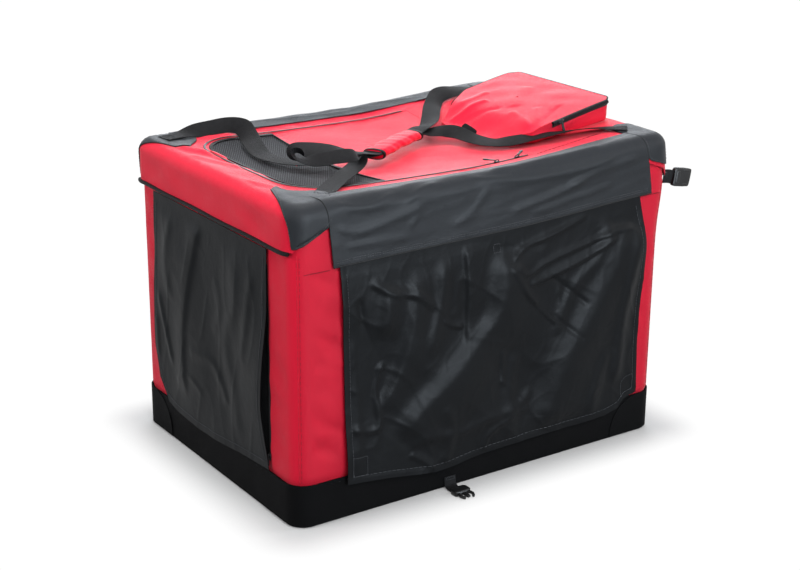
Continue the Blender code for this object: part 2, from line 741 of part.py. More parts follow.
def build_end_flap(name, side, fold, hem, columns, rows, black):
    width = END_FLAP_BACK - END_FLAP_FRONT

    def at(thickness):
        def place(u, v):
            z = END_FLAP_TOP + (hem(u) - END_FLAP_TOP) * v
            x = FLAP_PLANE_X + fold(u, v) + thickness
            return (side * x, END_FLAP_FRONT + u * width, z)

        return place

    us, vs = spaced(0, 1, columns), spaced(0, 1, rows)
    grid_solid(name, us, vs, at(FLAP_CLOTH), at(0.0), black, smooth_angle=60)


def build_flaps(black):
    """Four hanging flaps: the two that show have their folds, the hidden two are plain."""
    build_long_flap("front_flap", -1, front_flap_fold, front_flap_hem, 26, 12, black)
    build_long_flap("back_flap", 1, plain_fold, plain_hem, 1, 1, black)
    build_end_flap("left_flap", -1, end_flap_fold, end_flap_hem, 20, 12, black)
    build_end_flap("right_flap", 1, plain_fold, plain_end_hem, 1, 1, black)


def pouch_rim(x, y, lift=0.0):
    """The sloping plane of the pouch's zipped rim."""
    return POUCH_LOW + POUCH_SLOPE_X * (x - POUCH_LEFT) + POUCH_SLOPE_Y * (y - POUCH_FRONT) + lift


def pouch_plan(inset):
    """The pouch's plan: a box whose front-left side is cut back by the gathers."""
    left, right = POUCH_LEFT + inset, POUCH_RIGHT - inset
    front, back = POUCH_FRONT + inset, POUCH_BACK - inset
    corners = [
        (left + POUCH_NOTCH, front), (right - POUCH_CORNER_CUT, front), (right, front + POUCH_CORNER_CUT),
        (right, back - POUCH_CORNER_CUT), (right - POUCH_CORNER_CUT, back), (left + POUCH_NOTCH, back),
        (left, back - POUCH_HINGE_SET_IN),
    ]
    points = []
    for k, corner in enumerate(corners):
        following = Vector(corners[(k + 1) % len(corners)])
        points += [Vector(corner).lerp(following, s / 3) for s in range(3)]
    return points


def pouch_hinge():
    """The two ends of the lid's hinge, which is the pouch's slanting left edge."""
    ends = ((POUCH_LEFT, POUCH_BACK - POUCH_HINGE_SET_IN), (POUCH_LEFT + POUCH_NOTCH, POUCH_FRONT))
    return [Vector((x, y, pouch_rim(x, y, GAP))) for x, y in ends]


def pouch_slider_place():
    x, y = POUCH_SLIDER_X, POUCH_SLIDER_Y
    return Vector((x, y, pouch_rim(x, y, CLOTH + 3 * GAP)))


def build_pouch(red):
    """A wedge-shaped zipped pouch on the roof: an open bag and the lid that zips over it."""
    outer, inner = pouch_plan(0.0), pouch_plan(CLOTH)
    rings = [
        on_roof(outer, POUCH_LIFT),
        [Vector((p.x, p.y, pouch_rim(p.x, p.y))) for p in outer],
        [Vector((p.x, p.y, pouch_rim(p.x, p.y))) for p in inner],
        on_roof(inner, POUCH_LIFT + CLOTH),
    ]
    ring_solid("pouch_bag", rings, red)
    low, high = GAP, GAP + CLOTH
    rings = [
        [Vector((p.x, p.y, pouch_rim(p.x, p.y, lift))) for p in outer]
        for lift in (low, high)
    ]
    ring_solid("pouch_lid", rings, red)


def build_slider(name, place, along, out, metal):
    """A zip slider with its pull: along is the zip's direction, out points away from the cloth."""
    along, out = along.normalized(), out.normalized()
    across = out.cross(along)
    block, pull = SLIDER_LENGTH / 2, SLIDER_LENGTH / 2 + PULL_LENGTH
    wide, narrow = SLIDER_WIDTH / 2, PULL_WIDTH / 2
    thin = SLIDER_HEIGHT * 0.45
    stations = (
        (-block, wide * 0.6, SLIDER_HEIGHT), (-block * 0.5, wide, SLIDER_HEIGHT),
        (block * 0.5, wide, SLIDER_HEIGHT), (block, narrow, thin),
        (pull * 0.9, narrow, thin), (pull, narrow * 0.6, thin),
    )
    rings = []
    for reach, half, tall in stations:
        middle = place + along * reach
        rings.append([
            middle - across * half, middle + across * half,
            middle + across * half + out * tall, middle - across * half + out * tall,
        ])
    ring_solid(name, rings, metal)


def build_sliders(metal):
    """Sliders of the hatch, the pouch and the two mesh doors."""
    right = Vector((1, 0, 0))
    up = Vector((0, 0, 1))
    reach = SLIDER_LENGTH / 2 + PULL_LENGTH
    hatch_sliders = (
        ("hatch_slider_left", HATCH_SLIDER_LEFT_X, -HATCH_SLIDE_LEFT - reach, -right),
        ("hatch_slider_right", HATCH_SLIDER_RIGHT_X, HATCH_SLIDE_RIGHT + reach, right),
    )
    for name, x, travel, along in hatch_sliders:
        seam_edge = HATCH_FRONT - SLIDER_WIDTH / 2
        z = max(roof_z(x, seam_edge), roof_z(x + travel, seam_edge)) + GAP
        build_slider(name, Vector((x, HATCH_FRONT, z)), along, up, metal)
    slope = Vector((1, 0, POUCH_SLOPE_X)).normalized()
    out = Vector((-POUCH_SLOPE_X, 0, 1))
    build_slider("pouch_slider", pouch_slider_place(), slope, out, metal)
    build_slider("front_door_slider", Vector(FRONT_SLIDER_PLACE), -up, Vector((0, 1, 0)), metal)
    build_slider("left_door_slider", Vector(LEFT_SLIDER_PLACE), -up, Vector((-1, 0, 0)), metal)


def grip_frame():
    """The grip's middle, its direction from left to right, and the level direction across it."""
    middle = Vector((-0.020, -0.004, 0))
    along = Vector((0.16, 0.092, 0)).normalized()
    ends = [middle + along * reach for reach in (-GRIP_LENGTH / 2, GRIP_LENGTH / 2)]
    middle.z = max(roof_z(end.x, end.y) for end in ends) + GRIP_HALF_HEIGHT
    return middle, along, Vector((-along.y, along.x, 0))


def build_grip(red):
    """The padded wrap that gathers the webbing into one handle."""
    middle, along, across = grip_frame()
    half = GRIP_LENGTH / 2
    stations = ((-half, 0.86), (-half * 0.8, 1.0), (half * 0.8, 1.0), (half, 0.86))
    rings = []
    for reach, scale in stations:
        ring = []
        for k in range(14):
            t = 2 * math.pi * k / 14
            flat = across * GRIP_HALF_WIDTH * scale * math.cos(t)
            tall = Vector((0, 0, GRIP_HALF_HEIGHT * scale * math.sin(t)))
            ring.append(middle + along * reach + flat + tall)
        rings.append(ring)
    ring_solid("grip_wrap", rings, red, smooth_angle=40)


def build_handle_straps(webbing):
    """Four lengths of webbing from the roof's corners to the two ends of the grip."""
    middle, along, _ = grip_frame()
    end = GRIP_LENGTH / 2 + 2 * GAP
    left, right = middle - along * end, middle + along * end
    level = Vector((0, 0, 0.0035))

    def over(x, y, lift):
        return (x, y, roof_z(x, y) + lift)

    far_x, far_y = HALF_L - WEB_ANCHOR_X, HALF_W - WEB_ANCHOR_Y
    routes = {
        "strap_back_left": [
            over(-far_x, far_y, WEB_LIFT), over(-0.275, 0.190, 0.040), over(-0.230, 0.190, 0.046),
            over(-0.222, 0.120, 0.022), over(-0.250, 0.040, 0.014), over(-0.205, -0.040, 0.018),
            left - along * 0.05 + level, left - along * 0.012 + level, left + level,
        ],
        "strap_front_left": [
            over(-far_x, -far_y, WEB_LIFT), over(-0.262, -0.165, 0.010), over(-0.225, -0.125, 0.010),
            over(-0.180, -0.090, 0.010), left - along * 0.035 - level,
            left - along * 0.012 - level, left - level,
        ],
        "strap_back_right": [
            right + level, right + along * 0.012 + level, right + along * 0.035 + level,
            over(0.130, 0.110, 0.035), over(0.165, 0.168, 0.045), over(0.212, 0.196, 0.040),
            over(0.285, 0.188, 0.014),
            over(far_x, far_y, WEB_LIFT),
        ],
        "strap_front_right": [
            right - level, right + along * 0.006 - level, right + along * 0.013 - level,
            over(0.094, 0.042, 0.0055),
            over(0.118, 0.000, 0.0060), over(0.120, -0.070, 0.009), over(0.142, -0.135, 0.011),
            over(0.195, -0.174, 0.010),
            over(0.275, -0.180, 0.010), over(far_x, -far_y, WEB_LIFT),
        ],
    }
    for name, points in routes.items():
        ribbon(name, smooth_route(points, 4), WEB_WIDTH, webbing)


def box_rings(place, along, across, out, stations):
    """Square loops along a direction, each with its own half width and half thickness."""
    rings = []
    for reach, half, thick in stations:
        middle = place + along * reach
        rings.append([
            middle - across * half - out * thick, middle + across * half - out * thick,
            middle + across * half + out * thick, middle - across * half + out * thick,
        ])
    return rings


def build_front_buckle(webbing, plastic):
    """Closing strap at the front: webbing down the band to the floor, and a male buckle on it."""
    root = Vector(FRONT_STRAP_ROOT)
    lying = WEB_CLOTH / 2 + GAP
    end = Vector((root.x, root.y - FRONT_STRAP_LIES, lying))
    path = [
        root, (root.x, root.y, root.z / 2), (root.x, root.y - 0.002, lying + 0.0055),
        (root.x, root.y - 0.010, lying + 0.0008), end,
    ]
    ribbon("front_strap", smooth_route(path, 3), BUCKLE_WEB, webbing, across=Vector((1, 0, 0)))
    half, thick = BUCKLE_WIDTH / 2, BUCKLE_HEIGHT / 2
    place = Vector((end.x, end.y - GAP, thick + GAP))
    along, across, out = Vector((0, -1, 0)), Vector((1, 0, 0)), Vector((0, 0, 1))
    stations = (
        (0.0, half * 0.8, thick), (0.004, half, thick), (0.018, half, thick),
        (0.020, half * 0.78, thick * 0.7), (0.034, half * 0.9, thick * 0.6), (0.043, half * 0.45, thick * 0.5),
    )
    item = ring_solid("male_buckle", box_rings(place, along, across, out, stations), plastic)
    bm = bmesh.new()
    for reach, deep, wide in ((0.009, 0.003, half * 0.70), (0.033, 0.008, half * 0.22)):
        middle = place + along * reach
        ends = box_rings(middle, along, across, out, ((-deep, wide, 2 * thick), (deep, wide, 2 * thick)))
        near, far = [[bm.verts.new(p) for p in ring] for ring in ends]
        bm.faces.new(near)
        bm.faces.new(far)
        for i in range(4):
            j = (i + 1) % 4
            bm.faces.new((near[i], near[j], far[j], far[i]))
    combine(item, hidden_object("male_buckle_slots", bm), "DIFFERENCE")


def build_side_buckle(webbing, plastic):
    """Closing strap at the right end: webbing on edge, with a female buckle at its end."""
    root = Vector(SIDE_STRAP_ROOT)
    reach = SIDE_STRAP_LENGTH
    path = [root, root + Vector((reach * 0.4, 0, 0)), root + Vector((reach, 0, -reach * SIDE_STRAP_FALL))]
    route = smooth_route(path, 3)
    ribbon("side_strap", route, BUCKLE_WEB, webbing, across=Vector((0, 0, 1)))
    along = Vector((1, 0, -SIDE_STRAP_FALL)).normalized()
    out = Vector((0, 1, 0))
    across = out.cross(along)
    half, thick, wall = BUCKLE_WIDTH / 2, BUCKLE_HEIGHT / 2, BUCKLE_WALL
    place = route[-1] + Vector((half * SIDE_STRAP_FALL, 0, 0))
    stations = (
        (0.0, half * 0.85, thick * 0.8), (0.005, half, thick), (BUCKLE_LENGTH, half, thick),
        (BUCKLE_LENGTH, half - wall, thick - wall), (0.012, half - wall, thick - wall),
    )
    ring_solid("female_buckle", box_rings(place, along, across, out, stations), plastic)


def hang(name, place, parent, names):
    """An empty on a joint's axis, under its parent's empty, that carries the named pieces."""
    axis = bpy.data.objects.new(name, None)
    bpy.context.scene.collection.objects.link(axis)
    axis.empty_display_size = 0.02
    axis.location = Vector(place) - (Vector(parent["place"]) if parent else Vector())
    axis.parent = parent
    axis["place"] = tuple(place)
    for piece in names:
        item = bpy.data.objects[piece]
        item.parent = axis
        item.matrix_parent_inverse = Matrix.Translation(-Vector(place))
    return axis


def hang_frame():
    """The posts: on each side the lower halves, then the upper halves, and the roof is on the left."""
    upper_halves = {}
    for side, x in (("left", -PIVOT_X), ("right", PIVOT_X)):
        lower = [f"post_{row}_{side}_lower" for row in ("front", "back")]
        upper = [f"post_{row}_{side}_upper" for row in ("front", "back")]
        knees = [f"pin_{row}_{side}_knee" for row in ("front", "back")]
        foot = hang(f"{side}_foot_axis", (x, 0, BASE_PIVOT_Z), None, lower + knees)
        upper_halves[side] = hang(f"{side}_knee_axis", (x, 0, KNEE_Z), foot, upper)
    pins = [f"pin_{corner}_top" for corner in POSTS]
    straps = [f"strap_{corner}" for corner in POSTS]
    cover = ["top_frame", "roof_cover", "front_valance", "back_valance", "left_piping", "right_piping"]
    held = [*pins, *straps, *cover, "pouch_bag"]
    return hang("roof_axis", (-PIVOT_X, 0, TOP_PIVOT_Z), upper_halves["left"], held)


def hang_cover(roof):
    """Doors, flaps, hatch, pouch lid, grip, closing straps and zip sliders, each on its own axis."""
    hatch_z = roof_z(HATCH_RIGHT, 0) - CLOTH / 2
    left_zip = (HATCH_SLIDER_LEFT_X, HATCH_FRONT, HEIGHT)
    right_zip = (HATCH_SLIDER_RIGHT_X, HATCH_FRONT, HEIGHT)
    made = {"base": None, "roof": roof}
    slots = (
        ("front_door_axis", FRONT_DOOR_HINGE, "base", ["front_mesh_door"]),
        ("left_door_axis", LEFT_DOOR_HINGE, "base", ["left_mesh_door"]),
        ("front_flap_axis", (0, -FLAP_PLANE_Y - FLAP_CLOTH / 2, FRONT_FLAP_TOP), "roof", ["front_flap"]),
        ("back_flap_axis", (0, FLAP_PLANE_Y + FLAP_CLOTH / 2, FRONT_FLAP_TOP), "roof", ["back_flap"]),
        ("left_flap_axis", (-FLAP_PLANE_X - FLAP_CLOTH / 2, 0, END_FLAP_TOP), "roof", ["left_flap"]),
        ("right_flap_axis", (FLAP_PLANE_X + FLAP_CLOTH / 2, 0, END_FLAP_TOP), "roof", ["right_flap"]),
        ("hatch_axis", (HATCH_RIGHT, 0, hatch_z), "roof", ["hatch_panel", "hatch_mesh"]),
        ("pouch_lid_axis", pouch_hinge()[0], "roof", ["pouch_lid"]),
        ("grip_axis", grip_frame()[0], "roof", ["grip_wrap"]),
        ("front_strap_axis", FRONT_STRAP_ROOT, "base", ["front_strap", "male_buckle"]),
        ("side_strap_axis", SIDE_STRAP_ROOT, "roof", ["side_strap", "female_buckle"]),
        ("hatch_slide_left_axis", left_zip, "roof", ["hatch_slider_left"]),
        ("hatch_slide_right_axis", right_zip, "roof", ["hatch_slider_right"]),
        ("pouch_slide_axis", pouch_slider_place(), "pouch_lid_axis", ["pouch_slider"]),
        ("front_slide_axis", FRONT_SLIDER_PLACE, "base", ["front_door_slider"]),
        ("left_slide_axis", LEFT_SLIDER_PLACE, "base", ["left_door_slider"]),
    )
    for name, place, parent, names in slots:
        made[name] = hang(name, place, made[parent], names)


def main():
    clear_scene()
    paint = make_material("frame_paint", (0.05, 0.05, 0.055), 0.35, 0.6)
    bright = make_material("pin_steel", (0.62, 0.62, 0.64), 0.30, 1.0)
    red = make_material("red_cloth", (0.76, 0.045, 0.085), 0.75)
    black = make_material("black_cloth", (0.012, 0.012, 0.014), 0.70)
    flap_cloth = make_material("flap_cloth", (0.017, 0.019, 0.022), 0.45)
    slate = make_material("slate_cloth", (0.050, 0.058, 0.068), 0.60)
    mesh = make_material("black_mesh", (0.020, 0.020, 0.022), 0.80)
    pad_cloth = make_material("pad_cloth", (0.20, 0.20, 0.21), 0.90)
    webbing = make_material("webbing", (0.028, 0.028, 0.032), 0.75)
    plastic = make_material("buckle_plastic", (0.012, 0.012, 0.013), 0.35)
    metal = make_material("zip_metal", (0.030, 0.030, 0.032), 0.35, 0.8)
    build_frame(paint, bright)
    build_base(black, pad_cloth)
    build_long_wall("front_wall", -1, red)
    build_long_wall("back_wall", 1, red)
    build_end_wall("left_wall", -1, red)
    build_end_wall("right_wall", 1, red)
    build_mesh_panels(mesh)
    build_roof(red)
    build_hatch(red, mesh)
    build_valance("front_valance", -1, slate)
    build_valance("back_valance", 1, slate)
    build_piping("left_piping", -1, black)
    build_piping("right_piping", 1, black)
    build_flaps(flap_cloth)
    build_pouch(red)
    build_sliders(metal)
    build_grip(red)
    build_handle_straps(webbing)
    build_front_buckle(webbing, plastic)
    build_side_buckle(webbing, plastic)
    hang_cover(hang_frame())


main()
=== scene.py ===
"""The looks of a soft-sided folding dog crate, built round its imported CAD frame.

Metres, +Z up, origin at the centre of the underside. X is the crate's length, and -Y its front.
"""

import math

import bmesh
import bpy
import numpy as np
from mathutils import Matrix, Vector
from mathutils.bvhtree import BVHTree


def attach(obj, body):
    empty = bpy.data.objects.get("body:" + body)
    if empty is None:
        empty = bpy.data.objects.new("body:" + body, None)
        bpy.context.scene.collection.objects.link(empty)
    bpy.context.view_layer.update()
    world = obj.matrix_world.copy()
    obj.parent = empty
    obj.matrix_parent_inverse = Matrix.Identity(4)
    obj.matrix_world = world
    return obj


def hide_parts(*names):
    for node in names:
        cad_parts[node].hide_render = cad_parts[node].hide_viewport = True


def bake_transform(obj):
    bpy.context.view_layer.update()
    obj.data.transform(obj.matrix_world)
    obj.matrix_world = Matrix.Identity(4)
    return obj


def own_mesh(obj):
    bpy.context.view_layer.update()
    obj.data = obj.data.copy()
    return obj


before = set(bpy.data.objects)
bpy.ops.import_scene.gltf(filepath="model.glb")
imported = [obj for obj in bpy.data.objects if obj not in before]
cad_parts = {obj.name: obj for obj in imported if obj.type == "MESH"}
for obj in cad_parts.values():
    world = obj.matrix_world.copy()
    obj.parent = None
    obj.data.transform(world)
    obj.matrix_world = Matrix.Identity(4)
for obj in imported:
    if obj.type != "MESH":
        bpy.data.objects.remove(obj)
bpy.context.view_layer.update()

# Sizes repeated from the CAD.
HALF_L = 0.410
HALF_W = 0.290
HEIGHT = 0.578
BASE_CORNER_R = 0.035
BAND_HEIGHT = 0.080
WALL_X = 0.407
WALL_Y = 0.287
WALL_CORNER_R = 0.030
WALL_TOP = 0.545
ROOF_X = 0.414
ROOF_EDGE_R = 0.024
ROOF_CORNER_R = 0.012
ROOF_SAG = 0.028
RING_X = 0.392
RING_Y = 0.270
SKIRT_BOTTOM = 0.500
LIP_BOTTOM = 0.535
DOOR_SILL = 0.102
FRONT_DOOR_TOP = 0.450
FRONT_DOOR_HALF = 0.300
END_DOOR_TOP = 0.465
END_DOOR_HALF = 0.200
HATCH = (-0.340, 0.155, -0.200, 0.210)
HATCH_ROUND = 0.090
WINDOW_RIGHT = -0.165
CLOTH = 0.0012

# How far the cover's right end is raised and swollen at most, and the height of its widest swell.
END_RISE = 0.017
END_SWELL = 0.011
SWELL_HEIGHT = 0.490

# The flaps' cloth thickness, their top edges, and the height of the front flap's hinge line.
FLAP_CLOTH = 0.0009
FRONT_FLAP_TOP = 0.4690
LEFT_FLAP_TOP = 0.4900
RIGHT_FLAP_TOP = 0.4895
FRONT_FLAP_HINGE = 0.4695

# Every object that add_mesh makes, so that settle can raise them all.
PIECES = []


# Small tools

def link(item):
    bpy.context.scene.collection.objects.link(item)
    return item


def dress(item, body, look):
    """Give a piece its body and its material."""
    slot, material = look
    item.data.materials.append(material)
    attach(item, body)
    return item


def ramped(value, width):
    """0 up to zero, 1 past the width, and a straight ramp between."""
    return np.clip(value / width, 0, 1)


def smoothed(share):
    """A ramp from 0 to 1 with soft ends."""
    return share * share * (3 - 2 * share)


def capped(height, most):
    """Heights eased so that none passes the most."""
    return most * np.tanh(height / most)


def unit_grid(columns, rows):
    """Two arrays, one running from 0 to 1 along the columns and one along the rows."""
    return np.meshgrid(np.linspace(0, 1, columns), np.linspace(0, 1, rows), indexing="ij")


def add_mesh(name, verts, faces, uvs=None, smooth=True):
    """A named mesh with outward normals, and smooth shading between its sharp edges."""
    mesh = bpy.data.meshes.new(name)
    mesh.from_pydata([tuple(map(float, v)) for v in verts], [], faces)
    if uvs is not None:
        layer = mesh.uv_layers.new(name="UVMap")
        flat = np.array([uvs[loop.vertex_index] for loop in mesh.loops], dtype=float)
        layer.data.foreach_set("uv", flat.ravel())
    bm = bmesh.new()
    bm.from_mesh(mesh)
    bmesh.ops.recalc_face_normals(bm, faces=bm.faces)
    bm.to_mesh(mesh)
    bm.free()
    if smooth:
        mesh.shade_smooth()
        mesh.set_sharp_from_angle(angle=math.radians(55))
    PIECES.append(link(bpy.data.objects.new(name, mesh)))
    return PIECES[-1]


def normals_of(points, wrap=False):
    """Unit normals of a grid of points."""
    if wrap:
        du = np.roll(points, -1, axis=0) - np.roll(points, 1, axis=0)
    else:
        du = np.gradient(points, axis=0)
    dv = np.gradient(points, axis=1)
    cross = np.cross(du, dv)
    size = np.linalg.norm(cross, axis=2, keepdims=True)
    return cross / np.maximum(size, 1e-12)


def shell(name, points, cloth=CLOTH, wrap=False, keep=None):
    """A closed sheet of cloth through a grid of mid-surface points; keep(i, j) says which cells stay."""
    points = np.asarray(points, float)
    columns, rows = points.shape[:2]
    normal = normals_of(points, wrap)
    across = np.linalg.norm(np.diff(points, axis=0), axis=2).mean(axis=1)
    along = np.linalg.norm(np.diff(points, axis=1), axis=2).mean(axis=0)
    u = np.concatenate([[0], np.cumsum(across)])
    v = np.concatenate([[0], np.cumsum(along)])
    verts = np.concatenate([(points + side * normal * cloth / 2).reshape(-1, 3) for side in (1, -1)])
    uv = np.stack(np.meshgrid(u, v, indexing="ij"), axis=2).reshape(-1, 2)
    uvs = np.concatenate([uv, uv])
    count = columns * rows
    cells = columns if wrap else columns - 1

    def solid(i, j):
        if not wrap and not 0 <= i < cells:
            return False
        return 0 <= j < rows - 1 and (keep is None or keep(i % columns, j))

    def at(i, j, side):
        return (i % columns) * rows + j + side * count

    faces = []
    for i in range(cells):
        for j in range(rows - 1):
            if not solid(i, j):
                continue
            square = ((i, j), (i + 1, j), (i + 1, j + 1), (i, j + 1))
            faces.append([at(*c, 0) for c in square])
            faces.append([at(*c, 1) for c in reversed(square)])
            for k, beside in enumerate(((i, j - 1), (i + 1, j), (i, j + 1), (i - 1, j))):
                if not solid(*beside):
                    a, b = square[k], square[(k + 1) % 4]
                    faces.append([at(*b, 0), at(*a, 0), at(*a, 1), at(*b, 1)])
    used = sorted({k for face in faces for k in face})
    index = {k: n for n, k in enumerate(used)}
    faces = [[index[k] for k in face] for face in faces]
    return add_mesh(name, verts[used], faces, uvs[used])


def waves(s, t, scale, seed, count=9):
    """A smooth random field of about unit size, from plane waves near one wavelength."""
    rng = np.random.RandomState(seed)
    total = np.zeros(np.broadcast(s, t).shape)
    for _ in range(count):
        turn = rng.uniform(0, math.tau)
        length = scale * rng.uniform(0.7, 1.5)
        phase = rng.uniform(0, math.tau)
        total += np.sin(math.tau * (s * math.cos(turn) + t * math.sin(turn)) / length + phase)
    return total / math.sqrt(count)


def ridges(s, t, scale, seed):
    """Like waves, with sharp crests such as small creases make."""
    return 1 - np.minimum(1, np.abs(waves(s, t, scale, seed)) * 1.6)


def crease(s, t, line, high, wide, steep=1.0, taper=0.02):
    """The height of a fold along a polyline: it falls off over wide, and over wide * steep on its right."""
    best = np.full(np.broadcast(s, t).shape, 1e9)
    side = np.ones_like(best)
    fade = np.ones_like(best)
    line = np.array([tuple(p)[:2] for p in smooth_path([(*p, 0.0) for p in line], 4)])
    lengths = np.linalg.norm(np.diff(line, axis=0), axis=1)
    total, run = lengths.sum(), 0.0
    for a, b, length in zip(line, line[1:], lengths):
        d = (b - a) / length
        k = np.clip((s - a[0]) * d[0] + (t - a[1]) * d[1], 0, length)
        ds, dt = s - a[0] - k * d[0], t - a[1] - k * d[1]
        gap = np.hypot(ds, dt)
        nearer = gap < best
        best = np.where(nearer, gap, best)
        side = np.where(nearer, np.sign(ds * d[1] - dt * d[0]), side)
        place = run + k
        ends = np.minimum(place, total - place)
        fade = np.where(nearer, ramped(ends, taper), fade)
        run += length
    width = np.where(side > 0, wide * steep, wide)
    sharpness = 1.9
    return high * smoothed(fade) * np.exp(-(best / width) ** sharpness)


def smooth_path(points, steps):
    """Points along a smooth curve through the given ones."""
    path = [Vector(p) for p in points]
    path = [2 * path[0] - path[1], *path, 2 * path[-1] - path[-2]]
    found = []
    for a, b, c, d in zip(path, path[1:], path[2:], path[3:]):
        for i in range(steps):
            t = i / steps
            found.append(0.5 * (2 * b + (c - a) * t + (2 * a - 5 * b + 4 * c - d) * t * t
                                + (3 * b - a - 3 * c + d) * t ** 3))
    return [*found, path[-2]]


def tangents(path):
    last = len(path) - 1
    return [(path[min(i + 1, last)] - path[max(i - 1, 0)]).normalized() for i in range(last + 1)]


def sweep(name, path, rings, closed=False):
    """A closed body through cross-section rings given as lists of points."""
    count = len(rings[0])
    verts = [p for ring in rings for p in ring]
    faces = []
    pairs = len(rings) if closed else len(rings) - 1
    for r in range(pairs):
        s = (r + 1) % len(rings)
        for i in range(count):
            j = (i + 1) % count
            faces.append([r * count + i, r * count + j, s * count + j, s * count + i])
    if not closed:
        faces.append(list(range(count)))
        faces.append([(len(rings) - 1) * count + i for i in reversed(range(count))])
    lengths = [0.0]
    for a, b in zip(path, path[1:]):
        lengths.append(lengths[-1] + (b - a).length)
    uvs = []
    for length, ring in zip(lengths, rings):
        around = 0.0
        for i, p in enumerate(ring):
            uvs.append((around, length))
            around += (Vector(ring[(i + 1) % count]) - Vector(p)).length
    return add_mesh(name, verts, faces, uvs)


def rod(name, path, radius, sides=12, flat=1.0, up=Vector((0, 0, 1))):
    """A round or flattened cord along a path."""
    rings = []
    for centre, along in zip(path, tangents(path)):
        side = along.cross(up)
        side = side.normalized() if side.length > 1e-6 else Vector((1, 0, 0))
        rise = side.cross(along)
        turns = [math.tau * (k + 0.5) / sides for k in range(sides)]
        rings.append([centre + radius * math.cos(t) * side + flat * radius * math.sin(t) * rise
                      for t in turns])
    return sweep(name, path, rings)


def web(name, points, width, cloth=0.0016, steps=8):
    """Webbing along (point, side direction) pairs; its edges are slightly thinner than its middle."""
    shape = ((-1, -0.25), (-0.92, -0.5), (0, -0.5), (0.92, -0.5), (1, -0.25),
             (1, 0.25), (0.92, 0.5), (0, 0.5), (-0.92, 0.5), (-1, 0.25))
    half = width / 2
    places = smooth_path([p for p, _ in points], steps)
    sides = smooth_path([Vector(s).normalized() for _, s in points], steps)
    rings = []
    for centre, along, side in zip(places, tangents(places), sides):
        side = (side - along * side.dot(along)).normalized()
        rise = side.cross(along).normalized()
        rings.append([centre + side * half * a + rise * cloth * b for a, b in shape])
    return sweep(name, places, rings)


def tree_of(*items):
    """A BVH of meshes that sit at the origin."""
    verts, faces = [], []
    for item in items:
        start = len(verts)
        verts += [v.co.copy() for v in item.data.vertices]
        faces += [[start + k for k in p.vertices] for p in item.data.polygons]
    return BVHTree.FromPolygons(verts, faces)


def laid(points, tree, lift):
    """Each point dropped on the outer face of the cover from outside a core box, and raised by lift."""
    core_x, core_y, core_z = 0.36, 0.235, 0.52
    found = []
    for p in points:
        core = Vector((min(max(p[0], -core_x), core_x), min(max(p[1], -core_y), core_y), min(p[2], core_z)))
        out = (Vector(p) - core).normalized()
        hit, _, _, _ = tree.ray_cast(Vector(p) + out * 0.05, -out, 0.08)
        found.append((hit or Vector(p)) + out * lift)
    return found


def on_grid(points, outward, u, v):
    """Place and outward normal at a share of a grid's rows and columns."""
    columns, rows = points.shape[:2]
    x, y = min(max(u, 0), 1) * (columns - 1), min(max(v, 0), 1) * (rows - 1)
    i, j = min(int(x), columns - 2), min(int(y), rows - 2)
    a, b = x - i, y - j
    across = points[i + 1, j] - points[i, j]
    along = points[i, j + 1] - points[i, j]
    place = (points[i, j] * (1 - a) * (1 - b) + points[i + 1, j] * a * (1 - b)
             + points[i, j + 1] * (1 - a) * b + points[i + 1, j + 1] * a * b)
    normal = np.cross(across, along)
    normal = normal / max(np.linalg.norm(normal), 1e-12)
    if normal @ np.asarray(outward, float) < 0:
        normal = -normal
    return Vector(place), Vector(normal)


def grid_line(points, outward, ends, steps=160):
    """Places and normals along straight lines between (u, v) corners of a grid."""
    found = []
    for (u0, v0), (u1, v1) in zip(ends, ends[1:]):
        for t in np.linspace(0, 1, steps):
            found.append(on_grid(points, outward, u0 + (u1 - u0) * t, v0 + (v1 - v0) * t))
    return found


def stitches(name, line, body, look, pitch=0.0050, length=0.0034, radius=0.00045, lift=0.0008):
    """A row of thread along places and normals, as one mesh of small six-sided capsules."""
    sides = 6
    places = [p for p, _ in line]
    lengths = np.concatenate([[0], np.cumsum([(b - a).length for a, b in zip(places, places[1:])])])
    verts, faces = [], []
    for start in np.arange(pitch / 2, lengths[-1] - length, pitch):
        k = min(max(int(np.searchsorted(lengths, start)), 1), len(line) - 1)
        end = min(max(int(np.searchsorted(lengths, start + length)), k + 1), len(line) - 1)
        (a, up), (b, _) = line[k - 1], line[end]
        along = b - a
        if along.length < 1e-7:
            continue
        along = along.normalized()
        up = (up - along * up.dot(along)).normalized()
        side = along.cross(up)
        middle = a + along * length / 2 + up * lift
        base = len(verts)
        for reach, scale in ((-0.5, 0.35), (-0.38, 1.0), (0.38, 1.0), (0.5, 0.35)):
            for turn in range(sides):
                t = math.tau * turn / sides
                out = side * math.cos(t) + up * math.sin(t)
                verts.append(middle + along * length * reach + out * radius * scale)
        for r in range(base, base + 3 * sides, sides):
            for i in range(sides):
                j = (i + 1) % sides
                faces.append([r + i, r + j, r + sides + j, r + sides + i])
        faces.append([base + i for i in reversed(range(sides))])
        faces.append([base + 3 * sides + i for i in range(sides)])
    return dress(add_mesh(name, verts, faces), body, look)


def strip(name, line, width, cloth, body, look, lift=0.0):
    """A flat tape along places and normals, with softened upper edges."""
    shape = ((-0.5, 0.0), (0.5, 0.0), (0.5, 0.7), (0.35, 1.0), (-0.35, 1.0), (-0.5, 0.7))
    rings = []
    places = [p for p, _ in line]
    for (centre, up), along in zip(line, tangents(places)):
        up = (up - along * up.dot(along)).normalized()
        side = along.cross(up)
        base = centre + up * lift
        rings.append([base + side * width * a + up * cloth * b for a, b in shape])
    tape = sweep(name, places, rings)
    return dress(tape, body, look)


def through(corners, normal, steps):
    """Places along the straight lines between corners, each with the same normal."""
    line = []
    for p, q in zip(corners, corners[1:]):
        line += [(p.lerp(q, t), normal) for t in np.linspace(0, 1, steps)]
    return line


